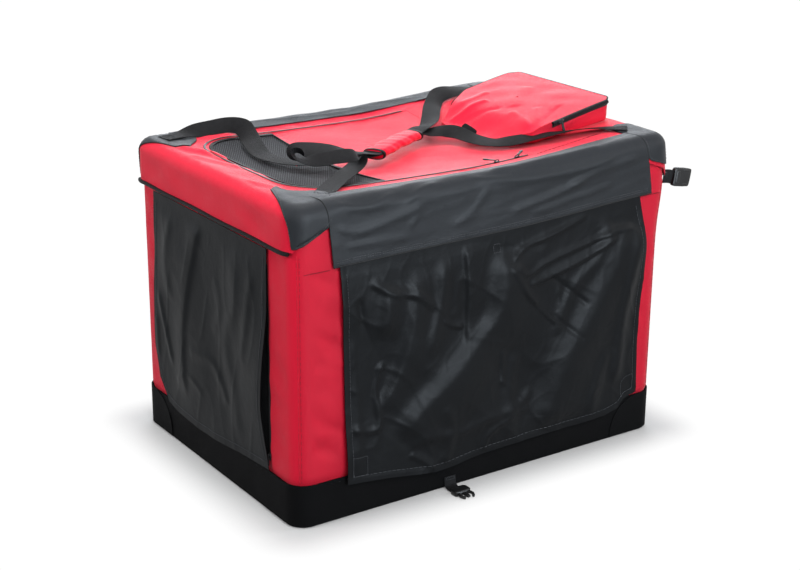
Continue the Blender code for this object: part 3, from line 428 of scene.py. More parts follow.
def squared(turn, power):
    """A cosine and a sine that draw a rounded box, and a squarer one the smaller the power."""
    c, n = math.cos(turn), math.sin(turn)
    return math.copysign(abs(c) ** power, c), math.copysign(abs(n) ** power, n)


def cushion(name, middle, along, across, up, size, body, look, soft=0.35, steps=8):
    """A softly rounded block: along, across and up are its axes, and size its lengths on them."""
    least, sides = 0.02, 20
    rings, path = [], []
    for t in np.linspace(-1, 1, 2 * steps + 1):
        ease = max((1 - abs(t) ** (1 / soft)) ** soft, least)
        centre = middle + along * size[0] / 2 * t
        path.append(centre)
        ring = []
        for k in range(sides):
            c, n = squared(math.tau * k / sides, soft)
            ring.append(centre + across * size[1] / 2 * c * ease + up * size[2] / 2 * n * ease)
        rings.append(ring)
    return dress(sweep(name, path, rings), body, look)


def rise_at(x, z):
    """How far the cover's right end stands above its frame, as in the photograph."""
    right = ramped(x - 0.02, 0.39)
    high = ramped(z - 0.10, 0.46) ** 2
    return END_RISE * smoothed(right) * high


def settle():
    """Raise and swell the right end of every piece that add_mesh made."""
    for item in PIECES:
        mesh = item.data
        at = np.empty(len(mesh.vertices) * 3)
        mesh.vertices.foreach_get("co", at)
        at = at.reshape(-1, 3)
        near = ramped(at[:, 0] - 0.33, 0.08)
        swell = END_SWELL * near * np.exp(-((at[:, 2] - SWELL_HEIGHT) / 0.060) ** 2)
        at[:, 2] += rise_at(at[:, 0], at[:, 2])
        at[:, 0] += swell
        mesh.vertices.foreach_set("co", at.ravel())
        mesh.update()


# Materials

class Nodes:
    """Short calls for building one node tree, of a material or of the world."""

    def __init__(self, owner):
        owner.use_nodes = True
        self.owner = owner
        self.tree = owner.node_tree
        self.shader = self.tree.nodes.get("Principled BSDF")

    def add(self, kind, links=None, **values):
        node = self.tree.nodes.new(kind)
        for key, value in values.items():
            setattr(node, key, value)
        for key, value in (links or {}).items():
            self.put(node.inputs[key], value)
        return node

    def put(self, socket, value):
        if isinstance(value, bpy.types.NodeSocket):
            self.tree.links.new(value, socket)
        else:
            socket.default_value = value

    def surface(self, values):
        """Constants and links on the shader's own sockets."""
        for key, value in values.items():
            self.put(self.shader.inputs[key], value)

    def math(self, operation, *values):
        return self.add("ShaderNodeMath", dict(enumerate(values)), operation=operation).outputs[0]

    def wave(self, value, pitch):
        return self.math("SINE", self.math("MULTIPLY", value, math.tau / pitch))

    def threads(self):
        """The two thread directions: U and V, in metres."""
        uv = self.add("ShaderNodeTexCoord").outputs["UV"]
        split = self.add("ShaderNodeSeparateXYZ", {0: uv})
        return split.outputs["X"], split.outputs["Y"]

    def noise(self, scale, detail, **more):
        place = self.add("ShaderNodeTexCoord").outputs["Object"]
        links = {"Vector": place, "Scale": scale, "Detail": detail, **more}
        return self.add("ShaderNodeTexNoise", links).outputs["Fac"]

    def bump(self, height, strength, distance, **more):
        links = {"Height": height, "Strength": strength, "Distance": distance, **more}
        return self.add("ShaderNodeBump", links).outputs[0]

    def ramp(self, value, stops):
        node = self.add("ShaderNodeValToRGB", {"Fac": value})
        elements = node.color_ramp.elements
        while len(elements) < len(stops):
            elements.new(0.5)
        for element, (place, colour) in zip(elements, stops):
            element.position = place
            element.color = (*colour, 1.0)
        return node.outputs["Color"]


def woven(name, colour, pitch=0.0007, rough=0.72, weave=0.25, crumple=0.3, crumple_size=0.03,
          variety=0.10, sheen=0.0, specular=0.35):
    """Plain-woven cloth: crossing threads from the UV in metres, painted shade of the weave in the colour,
    soft crumples, and uneven colour.
    """
    n = Nodes(bpy.data.materials.new(name))
    crossing = n.math("MULTIPLY", *[n.wave(axis, pitch) for axis in n.threads()])
    soft = n.noise(1 / crumple_size, 5.0, Roughness=0.55)
    # Painted shade: the colour is a little darker between the thread crossings and paler on them, following
    # the bump's relief.
    weave_shade = n.math("MULTIPLY_ADD", crossing, 0.06, 1.0)
    tint = n.math("MULTIPLY_ADD", n.noise(7.0, 3.0), variety * 2, 1.0 - variety)
    grain = n.math("MULTIPLY_ADD", n.noise(900.0, 2.0), 0.22, 0.89)
    total = n.math("MULTIPLY", n.math("MULTIPLY", weave_shade, tint), grain)
    grey = n.add("ShaderNodeCombineColor", {0: total, 1: total, 2: total}).outputs[0]
    base = n.add("ShaderNodeMix", {0: 1.0, 6: (*colour, 1.0), 7: grey},
                 data_type="RGBA", blend_type="MULTIPLY")
    crumples = n.bump(soft, crumple, 0.004)
    n.surface({
        "Base Color": base.outputs[2],
        "Roughness": n.math("MULTIPLY_ADD", soft, 0.16, rough - 0.08),
        "Specular IOR Level": specular,
        "Normal": n.bump(crossing, weave, 0.0003, Normal=crumples),
    })
    if sheen:
        n.surface({"Sheen Weight": sheen, "Sheen Roughness": 0.4})
    return n.owner


def netting(name, dark, thread, pitch=0.0046):
    """Open mesh: a slanted lattice of paler threads over holes painted near-black, as painted shade of the
    dark inside seen through them.
    """
    n = Nodes(bpy.data.materials.new(name))
    across, along = n.threads()
    lines = []
    for slope in (0.62, -0.62):
        wave = n.wave(n.math("MULTIPLY_ADD", along, slope, across), 2 * pitch)
        lines.append(n.math("SUBTRACT", 1.0, n.math("ABSOLUTE", wave)))
    bars = n.math("MAXIMUM", *lines)
    n.surface({
        # The holes get the first colour, painted shade standing for the dark space behind the net.
        "Base Color": n.ramp(bars, ((0.0, dark), (0.50, dark), (0.72, thread), (1.0, thread))),
        "Roughness": 0.7,
        "Specular IOR Level": 0.08,
        "Normal": n.bump(bars, 0.6, 0.0008),
    })
    return n.owner


def ribbed(name, colour, pitch=0.0016):
    """Webbing: ribs across the band and fine threads along it, with painted shade of the ribs in its colour.
    """
    n = Nodes(bpy.data.materials.new(name))
    along, across = n.threads()
    threads = n.math("MULTIPLY", n.wave(along, pitch * 0.7), 0.5)
    height = n.math("ADD", n.wave(across, pitch), threads)
    light = tuple(min(1.0, c * 2.2) for c in colour)
    # Paler in random patches, and painted shade: a little darker in the hollows between the ribs and paler on
    # their crowns.
    tone_and_rib_shade = n.math("MULTIPLY_ADD", height, 0.12, n.noise(120.0, 3.0))
    n.surface({
        "Base Color": n.ramp(tone_and_rib_shade, ((0.25, colour), (0.85, light))),
        "Roughness": 0.66,
        "Specular IOR Level": 0.10,
        "Normal": n.bump(height, 0.5, 0.0004),
    })
    return n.owner


def hard(name, colour, rough, metallic=0.0, speckle=400.0, strength=0.1):
    """Moulded plastic, paint or plated steel, with a faint grain and worn gloss."""
    n = Nodes(bpy.data.materials.new(name))
    wear = n.noise(30.0, 4.0)
    dark = tuple(c * 0.8 for c in colour)
    light = tuple(min(1.0, c * 1.25) for c in colour)
    n.surface({
        "Base Color": n.ramp(wear, ((0.3, dark), (0.7, light))),
        "Roughness": n.math("MULTIPLY_ADD", wear, 0.25, rough - 0.12),
        "Metallic": metallic,
        "Specular IOR Level": 0.25,
        "Normal": n.bump(n.noise(speckle, 3.0), strength, 0.0004),
    })
    return n.owner


RED = ("red_cloth", woven("red cloth", (0.73, 0.012, 0.040), rough=0.46, weave=0.30, crumple=0.30,
                          crumple_size=0.05, variety=0.05, specular=0.06, sheen=0.14))
FLAP = ("flap_cloth", woven("flap cloth", (0.0060, 0.0068, 0.0080), pitch=0.0005, rough=0.45, weave=0.06,
                            crumple=0.50, crumple_size=0.07, variety=0.12, specular=0.06))
SLATE = ("slate_cloth", woven("slate cloth", (0.0190, 0.0215, 0.0255), rough=0.47, weave=0.18, crumple=0.45,
                              crumple_size=0.045, variety=0.10, specular=0.11))
BLACK = ("black_cloth", woven("black cloth", (0.0030, 0.0030, 0.0034), pitch=0.0009, rough=0.62, weave=0.5,
                              crumple=0.4, crumple_size=0.05, variety=0.10, specular=0.03))
BINDING = ("black_cloth", woven("black binding", (0.0050, 0.0050, 0.0055), pitch=0.0008, rough=0.50,
                                weave=0.4, crumple=0.2, variety=0.08, specular=0.08))
PAD = ("pad_cloth", woven("pad fleece", (0.19, 0.19, 0.20), pitch=0.0014, rough=0.92, weave=0.5, crumple=0.7,
                          crumple_size=0.012, variety=0.12, sheen=0.5))
# The net's first colour is painted shade in its holes; the second is its threads' own colour.
NET = ("black_mesh", netting("black net", (0.0030, 0.0030, 0.0035), (0.050, 0.052, 0.058)))
WEB = ("webbing", ribbed("webbing", (0.0042, 0.0042, 0.0048)))
PLASTIC = ("buckle_plastic", hard("buckle plastic", (0.0060, 0.0060, 0.0064), 0.42))
METAL = ("zip_metal", hard("zip enamel", (0.010, 0.010, 0.011), 0.38, metallic=0.4))
TEETH = ("black_cloth", hard("zip teeth", (0.010, 0.010, 0.011), 0.45, speckle=900.0))
PAINT = ("frame_paint", hard("frame paint", (0.045, 0.045, 0.05), 0.40, metallic=0.3))
STEEL = ("pin_steel", hard("pin steel", (0.60, 0.60, 0.62), 0.34, metallic=1.0))
DARK_THREAD = ("black_cloth", woven("dark thread", (0.0035, 0.0035, 0.0040), crumple=0.1, specular=0.2))
GREY_THREAD = ("slate_cloth", woven("grey thread", (0.050, 0.053, 0.060), crumple=0.1, specular=0.3))
RED_THREAD = ("red_cloth", woven("red thread", (0.33, 0.010, 0.022), crumple=0.1, specular=0.2))


# Shapes of the roof

def sag(x, y):
    along = np.maximum(0, 1 - (np.asarray(x) / RING_X) ** 2)
    across = np.maximum(0, 1 - (np.asarray(y) / RING_Y) ** 2)
    return ROOF_SAG * along * across


def roof_top(x, y):
    return HEIGHT - sag(x, y)


def outline(x0, x1, y0, y1, radii, arc=10, long_side=44, short_side=30):
    """A rounded rectangle, counter-clockwise from its low corner."""
    corners = ((x0, y0, 1, 1, 180), (x1, y0, -1, 1, 270), (x1, y1, -1, -1, 0), (x0, y1, 1, -1, 90))
    arcs = []
    for (x, y, sx, sy, start), radius in zip(corners, radii):
        turns = np.radians(np.linspace(start, start + 90, arc + 1))
        x, y = x + sx * radius, y + sy * radius
        arcs.append(np.stack([x + radius * np.cos(turns), y + radius * np.sin(turns)], 1))
    points = []
    for k, piece in enumerate(arcs):
        steps = long_side if k % 2 == 0 else short_side
        following = arcs[(k + 1) % 4][0]
        points.append(piece)
        share = np.linspace(0, 1, steps + 1)[1:-1, None]
        points.append(piece[-1] * (1 - share) + following * share)
    return np.concatenate(points)


def hatch_plan(inset):
    x0, x1, y0, y1 = HATCH
    curve = HATCH_ROUND - inset
    return outline(x0 + inset, x1 - inset, y0 + inset, y1 - inset, (curve, 0.004, 0.004, curve))


ROOF_CREASES = (
    (((-0.385, 0.175), (-0.345, 0.120), (-0.335, 0.060)), 0.0035, 0.012),
    (((-0.395, 0.120), (-0.360, 0.050), (-0.345, -0.010)), 0.0030, 0.010),
    (((-0.372, -0.160), (-0.330, -0.190), (-0.300, -0.205)), -0.0025, 0.010),
    (((-0.398, -0.060), (-0.375, -0.130), (-0.362, -0.170)), 0.0030, 0.009),
    (((0.170, 0.140), (0.260, 0.200), (0.360, 0.215)), 0.0025, 0.012),
)


def roof_wrinkle(x, y):
    height = 0.0012 * waves(x, y, 0.16, 3) + 0.0006 * waves(x, y, 0.05, 4)
    for line, high, wide in ROOF_CREASES:
        height = height + 1.5 * crease(x, y, line, high, wide)
    return height


def roof_shape():
    """Mid-surface points of the roof: [perimeter][from the hatch out over the edge to the hem]."""
    edge_x, edge_y = ROOF_X - ROOF_EDGE_R, HALF_W - ROOF_EDGE_R
    hole = hatch_plan(0.0)
    rings = []
    rim = outline(-edge_x, edge_x, -edge_y, edge_y, (ROOF_CORNER_R,) * 4)
    for t in np.linspace(0, 1, 15)[:-1]:
        plan = hole * (1 - t) + rim * t
        lift = roof_wrinkle(*plan.T) * min(1.0, 8 * t) * min(1, 4 * (1 - t) + 0.4)
        rings.append(np.column_stack([plan, roof_top(*plan.T) - CLOTH / 2 + lift]))
    radius = ROOF_EDGE_R - CLOTH / 2
    for turn in np.linspace(0, math.pi / 2, 11):
        out = radius * math.sin(turn)
        x, y = edge_x + out, edge_y + out
        plan = outline(-x, x, -y, y, (ROOF_CORNER_R + out,) * 4)
        fall = 1 - math.sin(turn)
        lift = roof_wrinkle(*plan.T) * 0.4
        z = (HEIGHT - ROOF_EDGE_R + radius * math.cos(turn) - fall * sag(*plan.T)
             + lift * math.cos(turn))
        rings.append(np.column_stack([plan, z]))
    top = rings[-1].copy()
    hem = hem_height(top[:, 0])
    for t in np.linspace(0, 1, 9)[1:]:
        ring = top.copy()
        ring[:, 2] = top[:, 2] * (1 - t) + hem * t
        swell = 0.0016 * math.sin(math.pi * t) * waves(ring[:, 1], ring[:, 2], 0.11, 8)
        on_end = np.abs(ring[:, 0]) > ROOF_X - 0.003
        ring[:, 0] += np.where(on_end, np.sign(ring[:, 0]) * swell, 0)
        rings.append(ring)
    return np.stack(rings, axis=1)


def hem_height(x):
    """The roof's lower edge: skirts hang at the ends, and a short lip runs along the sides."""
    past = ramped(ROOF_X - 0.012 - np.abs(x), 0.006)
    side = LIP_BOTTOM - 0.022 * ramped(np.abs(x) - 0.350, 0.05)
    return SKIRT_BOTTOM + (side - SKIRT_BOTTOM) * past


# The base, the pad and the frame

def band_shape():
    """Mid-surface of the base: [perimeter][floor to hem], slightly slack between its corners."""
    inset = 0.0012
    rings = [(0.016, 0.0012), (0.006, 0.0012), (0.0025, 0.0022), (inset, 0.0045)]
    rings += [(inset, z) for z in np.linspace(0.010, BAND_HEIGHT, 12)]
    found = []
    for x_in, z in rings:
        plan = outline(-HALF_L + x_in, HALF_L - x_in, -HALF_W + x_in, HALF_W - x_in,
                       (max(0.006, BASE_CORNER_R - x_in),) * 4)
        share = math.sin(math.pi * min(1, z / BAND_HEIGHT))
        slack = 0.0010 * waves(plan[:, 0] * 1.3, plan[:, 1] * 1.3 + z, 0.10, 12) * share
        plan = plan * (1 + slack[:, None] / 0.35)
        found.append(np.column_stack([plan, np.full(len(plan), z)]))
    return np.stack(found, axis=1)


def build_base():
    """The stiff band round the foot, and the floor cloth inside it."""
    band = shell("base_band", band_shape(), 0.0020, wrap=True)
    dress(band, "base", BLACK)
    inset, core_x, core_y, bend = 0.015, 0.375, 0.255, 0.020
    xs = np.linspace(-HALF_L + inset, HALF_L - inset, 30)
    ys = np.linspace(-HALF_W + inset, HALF_W - inset, 22)
    x, y = np.meshgrid(xs, ys, indexing="ij")
    corner = np.hypot(np.maximum(np.abs(x) - core_x, 0), np.maximum(np.abs(y) - core_y, 0))
    shrink = np.where(corner > bend, bend / np.maximum(corner, 1e-9), 1.0)
    x = np.where(corner > bend, np.sign(x) * (core_x + (np.abs(x) - core_x) * shrink), x)
    y = np.where(corner > bend, np.sign(y) * (core_y + (np.abs(y) - core_y) * shrink), y)
    floor = shell("base_floor", np.stack([x, y, np.full_like(x, 0.0018)], 2), 0.0020)
    dress(floor, "base", BLACK)
    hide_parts("base_band")
    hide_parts("base_floor")


def build_pad():
    """The loose fleece pad: a crowned form with quilted tufts."""
    half_x, half_y, low, high = 0.374, 0.248, 0.0050, 0.0285
    us, vs = np.linspace(-1, 1, 61), np.linspace(-1, 1, 45)
    u, v = np.meshgrid(us, vs, indexing="ij")
    edge = (1 - np.abs(u) ** 12) * (1 - np.abs(v) ** 10)
    x, y = u * half_x, v * half_y
    tufts = np.abs(np.sin(3.5 * math.pi * (u + 1) / 2) * np.sin(2.5 * math.pi * (v + 1) / 2)) ** 0.35
    top = low + 0.010 + (high - low - 0.010) * np.sqrt(np.maximum(edge, 0)) * (0.80 + 0.20 * tufts)
    count = len(us) * len(vs)
    verts = np.concatenate([np.stack([x, y, z], 2).reshape(-1, 3) for z in (top, np.full_like(top, low))])
    rows = len(vs)
    faces = []
    for i in range(len(us) - 1):
        for j in range(rows - 1):
            a, b, c, d = i * rows + j, (i + 1) * rows + j, (i + 1) * rows + j + 1, i * rows + j + 1
            faces += [[a, b, c, d], [d + count, c + count, b + count, a + count]]
    rim = [(i, 0) for i in range(len(us) - 1)] + [(len(us) - 1, j) for j in range(rows - 1)]
    rim += [(i, rows - 1) for i in range(len(us) - 1, 0, -1)] + [(0, j) for j in range(rows - 1, 0, -1)]
    for (i, j), (k, m) in zip(rim, rim[1:] + rim[:1]):
        a, b = i * rows + j, k * rows + m
        faces.append([b, a, a + count, b + count])
    uv = np.stack([x, y], 2).reshape(-1, 2)
    pad = add_mesh("floor_cushion", verts, faces, np.concatenate([uv, uv]))
    dress(pad, "base", PAD)
    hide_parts("floor_pad")


def paint_frame():
    for name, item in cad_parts.items():
        if name.startswith(("base_frame", "top_frame", "post_")):
            look = PAINT
        elif name.startswith("pin_"):
            look = STEEL
        else:
            continue
        for place in item.material_slots:
            place.material = look[1]


# Walls

def pillar_slack(s, z):
    """Soft level creases of a slack pillar."""
    fade = ramped(z - 0.09, 0.05) * ramped(0.47 - z, 0.04)
    rolls = 0.5 + 0.5 * np.sin(math.tau * (z / 0.052 + 0.55 * s / 0.05))
    patchy = np.clip(0.5 + 0.6 * waves(s * 0.4, z, 0.20, 22), 0, 1)
    upper = 0.6 + 0.8 * ramped(z - 0.20, 0.14)
    return fade * (0.0009 * waves(s, z, 0.06, 21) - 0.0052 * upper * patchy * (1 - rolls) ** 2)


def squash_wall(item):
    """Give the wall a mesh of its own."""
    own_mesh(item)


def squash_flap(item):
    """Give the flap a mesh of its own."""
    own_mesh(item)


def wall_levels(door_top, above):
    """Heights of a wall's rows: up to the sill, up to the opening's top, and above it."""
    return np.concatenate([np.linspace(BAND_HEIGHT - 0.004, DOOR_SILL, 5),
                           np.linspace(DOOR_SILL, door_top, 46)[1:],
                           np.linspace(door_top, WALL_TOP, above)[1:]])


def build_long_wall(name, node, side):
    """A front or back wall with its door or window opening."""
    seam = WALL_X - WALL_CORNER_R
    xs = np.concatenate([np.linspace(-seam, -FRONT_DOOR_HALF, 15),
                         np.linspace(-FRONT_DOOR_HALF, FRONT_DOOR_HALF, 50)[1:],
                         np.linspace(FRONT_DOOR_HALF, seam, 15)[1:]])
    zs = wall_levels(FRONT_DOOR_TOP, 12)
    x, z = np.meshgrid(xs, zs, indexing="ij")
    tuck = 0.0030 * ramped(BAND_HEIGHT + 0.006 - z, 0.006)
    near = ramped(np.abs(x) - FRONT_DOOR_HALF, 0.02)
    out = WALL_Y - CLOTH / 2 - tuck + pillar_slack(x, z) * near * ramped(seam - np.abs(x), 0.02)

    def keep(i, j):
        mid_x, mid_z = (xs[i] + xs[i + 1]) / 2, (zs[j] + zs[j + 1]) / 2
        return not (abs(mid_x) < FRONT_DOOR_HALF and DOOR_SILL < mid_z < FRONT_DOOR_TOP)

    wall = shell(name, np.stack([x, side * out, z], 2), keep=keep)
    dress(wall, "base", RED)
    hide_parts(node)
    return wall


def build_end_wall(name, node, side):
    """An end wall with its opening, and the rounded corners at both sides of it."""
    core_x, core_y = WALL_X - WALL_CORNER_R, WALL_Y - WALL_CORNER_R
    turns = np.linspace(0, math.pi / 2, 10)
    stations = [(-core_y, math.sin(t), -math.cos(t)) for t in turns]
    stations += [(y, 1.0, 0.0) for y in np.linspace(-core_y, -END_DOOR_HALF, 7)[1:]]
    first = len(stations) - 1
    stations += [(y, 1.0, 0.0) for y in np.linspace(-END_DOOR_HALF, END_DOOR_HALF, 30)[1:]]
    last = len(stations) - 1
    stations += [(y, 1.0, 0.0) for y in np.linspace(END_DOOR_HALF, core_y, 7)[1:]]
    stations += [(core_y, math.cos(t), math.sin(t)) for t in turns[1:]]
    zs = wall_levels(END_DOOR_TOP, 10)
    points = np.zeros((len(stations), len(zs), 3))
    run = 0.0
    for k, (y, out_x, out_y) in enumerate(stations):
        if k:
            before = stations[k - 1]
            run += abs(y - before[0]) + WALL_CORNER_R * math.hypot(out_x - before[1], out_y - before[2])
        tuck = 0.0030 * ramped(BAND_HEIGHT + 0.006 - zs, 0.006)
        loose = 0.0010 if abs(y) < core_y - 0.001 else 0.0001
        lift = loose * waves(np.full_like(zs, run), zs, 0.07, 23) * ramped(zs - 0.09, 0.03)
        r = WALL_CORNER_R - CLOTH / 2 - tuck + lift
        points[k, :, 0] = side * (core_x + r * out_x)
        points[k, :, 1] = y + r * out_y
        points[k, :, 2] = zs

    def keep(i, j):
        return not (first <= i < last and DOOR_SILL < (zs[j] + zs[j + 1]) / 2 < END_DOOR_TOP)

    wall = shell(name, points, keep=keep)
    dress(wall, "base", RED)
    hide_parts(node)
    return wall


def build_net_panel(name, node, body, plane, side, half, low, high):
    """A net panel in a wall, bound with black tape."""
    us, vs = np.linspace(-half, half, 25), np.linspace(low, high, 17)
    u, v = np.meshgrid(us, vs, indexing="ij")
    belly = 0.003 * (1 - (u / half) ** 2) * np.sin(math.pi * (v - low) / (high - low))
    flat = np.full_like(u, side * (plane - 0.0015)) - side * belly
    points = np.stack([u, flat, v], 2) if plane < 0.3 else np.stack([flat, u, v], 2)
    net = shell(name, points, 0.0010)
    dress(net, body, NET)
    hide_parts(node)
    rim = [(-half, low), (half, low), (half, high), (-half, high)]
    loop = []
    for (a, b), (c, d) in zip(rim, rim[1:] + rim[:1]):
        loop += [(a * (1 - t) + c * t, b * (1 - t) + d * t) for t in np.linspace(0, 1, 9)[:-1]]
    inset, middle, face = 0.006, (low + high) / 2, side * (plane - 0.0006)
    rows = []
    for a, b in loop:
        c = a * (1 - inset / half)
        d = (b - middle) * (1 - 2 * inset / (high - low)) + middle
        row = [(a * (1 - t) + c * t, b * (1 - t) + d * t) for t in np.linspace(0, 1, 3)]
        rows.append([(p, face, q) if plane < 0.3 else (face, p, q) for p, q in row])
    binding = shell(name + "_binding", rows, 0.0022, wrap=True)
    dress(binding, body, BINDING)
    return [net, binding]


def build_walls():
    """The four walls, and the net in each opening; returns the walls."""
    soft = [
        build_long_wall("front_wall_cloth", "front_wall", -1),
        build_long_wall("back_wall_cloth", "back_wall", 1),
        build_end_wall("left_wall_cloth", "left_wall", -1),
        build_end_wall("right_wall_cloth", "right_wall", 1),
    ]
    inset = 0.001
    low, wide, end_half = DOOR_SILL + inset, FRONT_DOOR_HALF - inset, END_DOOR_HALF - inset
    top, end_top = FRONT_DOOR_TOP - inset, END_DOOR_TOP - inset
    for name, node, body, plane, side, half, high in (
            ("front_door_net", "front_mesh_door", "door_front", WALL_Y, -1, wide, top),
            ("back_window_net", "back_mesh_window", "base", WALL_Y, 1, wide, top),
            ("left_door_net", "left_mesh_door", "door_left", WALL_X, -1, end_half, end_top),
            ("right_window_net", "right_mesh_window", "base", WALL_X, 1, end_half, end_top)):
        soft += build_net_panel(name, node, body, plane, side, half, low, high)
    for item in soft:
        squash_wall(item)
    return soft[:4]


# Roof, hatch, valances, patches and piping

def build_roof():
    """The roof's cover with its soft edges and end skirts."""
    roof = shell("roof_cloth", roof_shape(), wrap=True)
    dress(roof, "roof", RED)
    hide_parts("roof_cover")
    return roof


def build_hatch():
    """The red hatch panel with its bound net window."""
    inset, curve = 0.010, HATCH_ROUND - 0.010
    inner = outline(HATCH[0] + inset, WINDOW_RIGHT, HATCH[2] + inset, HATCH[3] - inset,
                    (curve, 0.003, 0.003, curve))
    outer = hatch_plan(0.0006)
    rings = []
    for t in np.linspace(0, 1, 13):
        plan = outer * (1 - t) + inner * t
        lift = roof_wrinkle(*plan.T) * min(1, 6 * t) * min(1, 6 * (1 - t))
        rings.append(np.column_stack([plan, roof_top(*plan.T) - CLOTH / 2 + lift]))
    panel = shell("hatch_cloth", np.stack(rings, 1), wrap=True)
    dress(panel, "hatch", RED)
    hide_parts("hatch_panel")
    middle = inner.mean(axis=0)
    rings = []
    for t in np.linspace(0.0, 0.97, 12):
        plan = inner * (1 - t) + middle * t
        rings.append(np.column_stack([plan, roof_top(*plan.T) - 0.0010]))
    net = shell("hatch_net", np.stack(rings, 1), 0.0010, wrap=True)
    plan_uv(net)
    dress(net, "hatch", NET)
    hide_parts("hatch_mesh")
    tape = []
    for t in (-0.010, -0.004, 0.002, 0.008):
        direction = middle - inner
        size = np.linalg.norm(direction, axis=1, keepdims=True)
        plan = inner + direction / size * (t * 0.45 + 0.002)
        tape.append(np.column_stack([plan, roof_top(*plan.T) + 0.0010]))
    binding = shell("hatch_net_binding", np.stack(tape, 1), 0.0016, wrap=True)
    dress(binding, "hatch", BINDING)


def plan_uv(item):
    """UVs from the plan, in metres, so that a net's lattice runs straight."""
    layer = item.data.uv_layers[0].data
    for loop in item.data.loops:
        at = item.data.vertices[loop.vertex_index].co
        layer[loop.index].uv = (at.x, at.y)


VALANCE_LAP = 0.052


def valance_rows():
    """Places across a valance on the roof and round its edge: y, z and how far the edge has turned."""
    core_y, core_z = HALF_W - ROOF_EDGE_R, HEIGHT - ROOF_EDGE_R
    rows = [(y, HEIGHT, 0.0) for y in np.linspace(HALF_W - VALANCE_LAP, core_y, 10)[:-1]]
    for turn in np.linspace(0, math.pi / 2, 11):
        rows.append((core_y + ROOF_EDGE_R * math.sin(turn), core_z + ROOF_EDGE_R * math.cos(turn), turn))
    return rows


def build_valance(name, node, side, folds):
    """The slate band over a long edge; its hem follows the photograph's slope."""
    rows = valance_rows()
    drop = np.linspace(0, 1, 17)[1:]
    us = np.linspace(0, 1, 110)
    points = np.zeros((len(us), len(rows) + len(drop), 3))
    lift, hem, hem_slope = 0.0020, 0.4665, 0.0105
    for i, u in enumerate(us):
        for j in range(points.shape[1]):
            if j < len(rows):
                y, z, turn = rows[j]
                v = 0.5 * j / len(rows)
            else:
                y, turn = HALF_W, math.pi / 2
                share = drop[j - len(rows)]
                z = (HEIGHT - ROOF_EDGE_R) * (1 - share) + (hem + hem_slope * u) * share
                v = 0.5 + 0.5 * share
            left, right = -0.351 + 0.018 * v, 0.342 + 0.022 * v
            x = left * (1 - u) + right * u
            fall = (1 - math.sin(turn)) * float(sag(x, y))
            points[i, j] = (x, side * (y + lift * math.sin(turn)), z + lift * math.cos(turn) - fall)
    normal = normals_of(points)
    if normal[0, 0, 2] < 0:
        normal = -normal
    run = np.concatenate([[0], np.cumsum(np.linalg.norm(np.diff(points[60], axis=0), axis=1))])
    s, t = np.meshgrid(points[:, 0, 0], run, indexing="ij")
    height = 0.0006 * waves(s, t, 0.10, 31) + 0.0008 * ridges(s * 0.3 + t * 1.4, t, 0.07, 33) ** 2
    for line, high, wide in folds:
        height = height + 1.25 * crease(s, t, line, high, wide, 0.5)
    edge = ramped(t, 0.012) * np.clip((run[-1] - t) / 0.006, 0.2, 1)
    points = points + normal * (np.maximum(height, -0.0004) * edge)[:, :, None]
    band = shell(name, points)
    dress(band, "roof", SLATE)
    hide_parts(node)
    return points


# A valance fold is its line, in metres along the crate and down the band, its height and its width.
# A scratch script printed most of these lines, from places picked by eye in the photograph.
VALANCE_FOLDS = (
    (((-0.008, 0.036), (0.115, 0.034), (0.252, 0.036)), 0.0020, 0.008),
    (((-0.055, 0.048), (0.070, 0.065), (0.195, 0.070), (0.264, 0.067)), 0.0026, 0.008),
    (((0.146, 0.097), (0.230, 0.082), (0.323, 0.075)), 0.0026, 0.007),
    (((0.015, 0.120), (0.138, 0.102), (0.196, 0.088)), 0.0028, 0.008),
    (((0.056, 0.131), (0.202, 0.119), (0.259, 0.114)), 0.0020, 0.006),
    (((-0.202, 0.069), (-0.165, 0.050), (-0.116, 0.042)), 0.0022, 0.007),
    (((-0.343, 0.085), (-0.294, 0.100), (-0.196, 0.084), (-0.161, 0.074)), 0.0024, 0.009),
    (((-0.340, 0.050), (-0.269, 0.063), (-0.210, 0.045)), 0.0020, 0.008),
    (((-0.333, 0.121), (-0.269, 0.123), (-0.196, 0.126)), 0.0018, 0.007),
    (((-0.203, 0.118), (-0.174, 0.085)), 0.0020, 0.005),
    (((-0.110, 0.128), (-0.060, 0.100), (-0.020, 0.060)), 0.0018, 0.008),
)


def build_valance_trim(points):
    """Two rows of stitching over the front valance's hem, and its rolled edges."""
    for k, v in enumerate((0.965, 0.945)):
        hem = grid_line(points, (0, -1, 0), ((0.006, v), (0.994, v)), 300)
        stitches(f"valance_hem_stitch_{k + 1}", hem, "roof", GREY_THREAD)
    for word, ends, radius in (("hem", ((0.0, 1.0), (1.0, 1.0)), 0.0016),
                               ("left", ((0.0, 0.0), (0.0, 1.0)), 0.0009),
                               ("right", ((1.0, 0.0), (1.0, 1.0)), 0.0009)):
        edge = [p for p, _ in grid_line(points, (0, -1, 0), ends, 160)]
        dress(rod(f"valance_{word}_edge", edge, radius, sides=8), "roof", DARK_THREAD)


def along_line(path, t):
    place = t * (len(path) - 1)
    k = min(int(place), len(path) - 2)
    return path[k].lerp(path[k + 1], place - k)


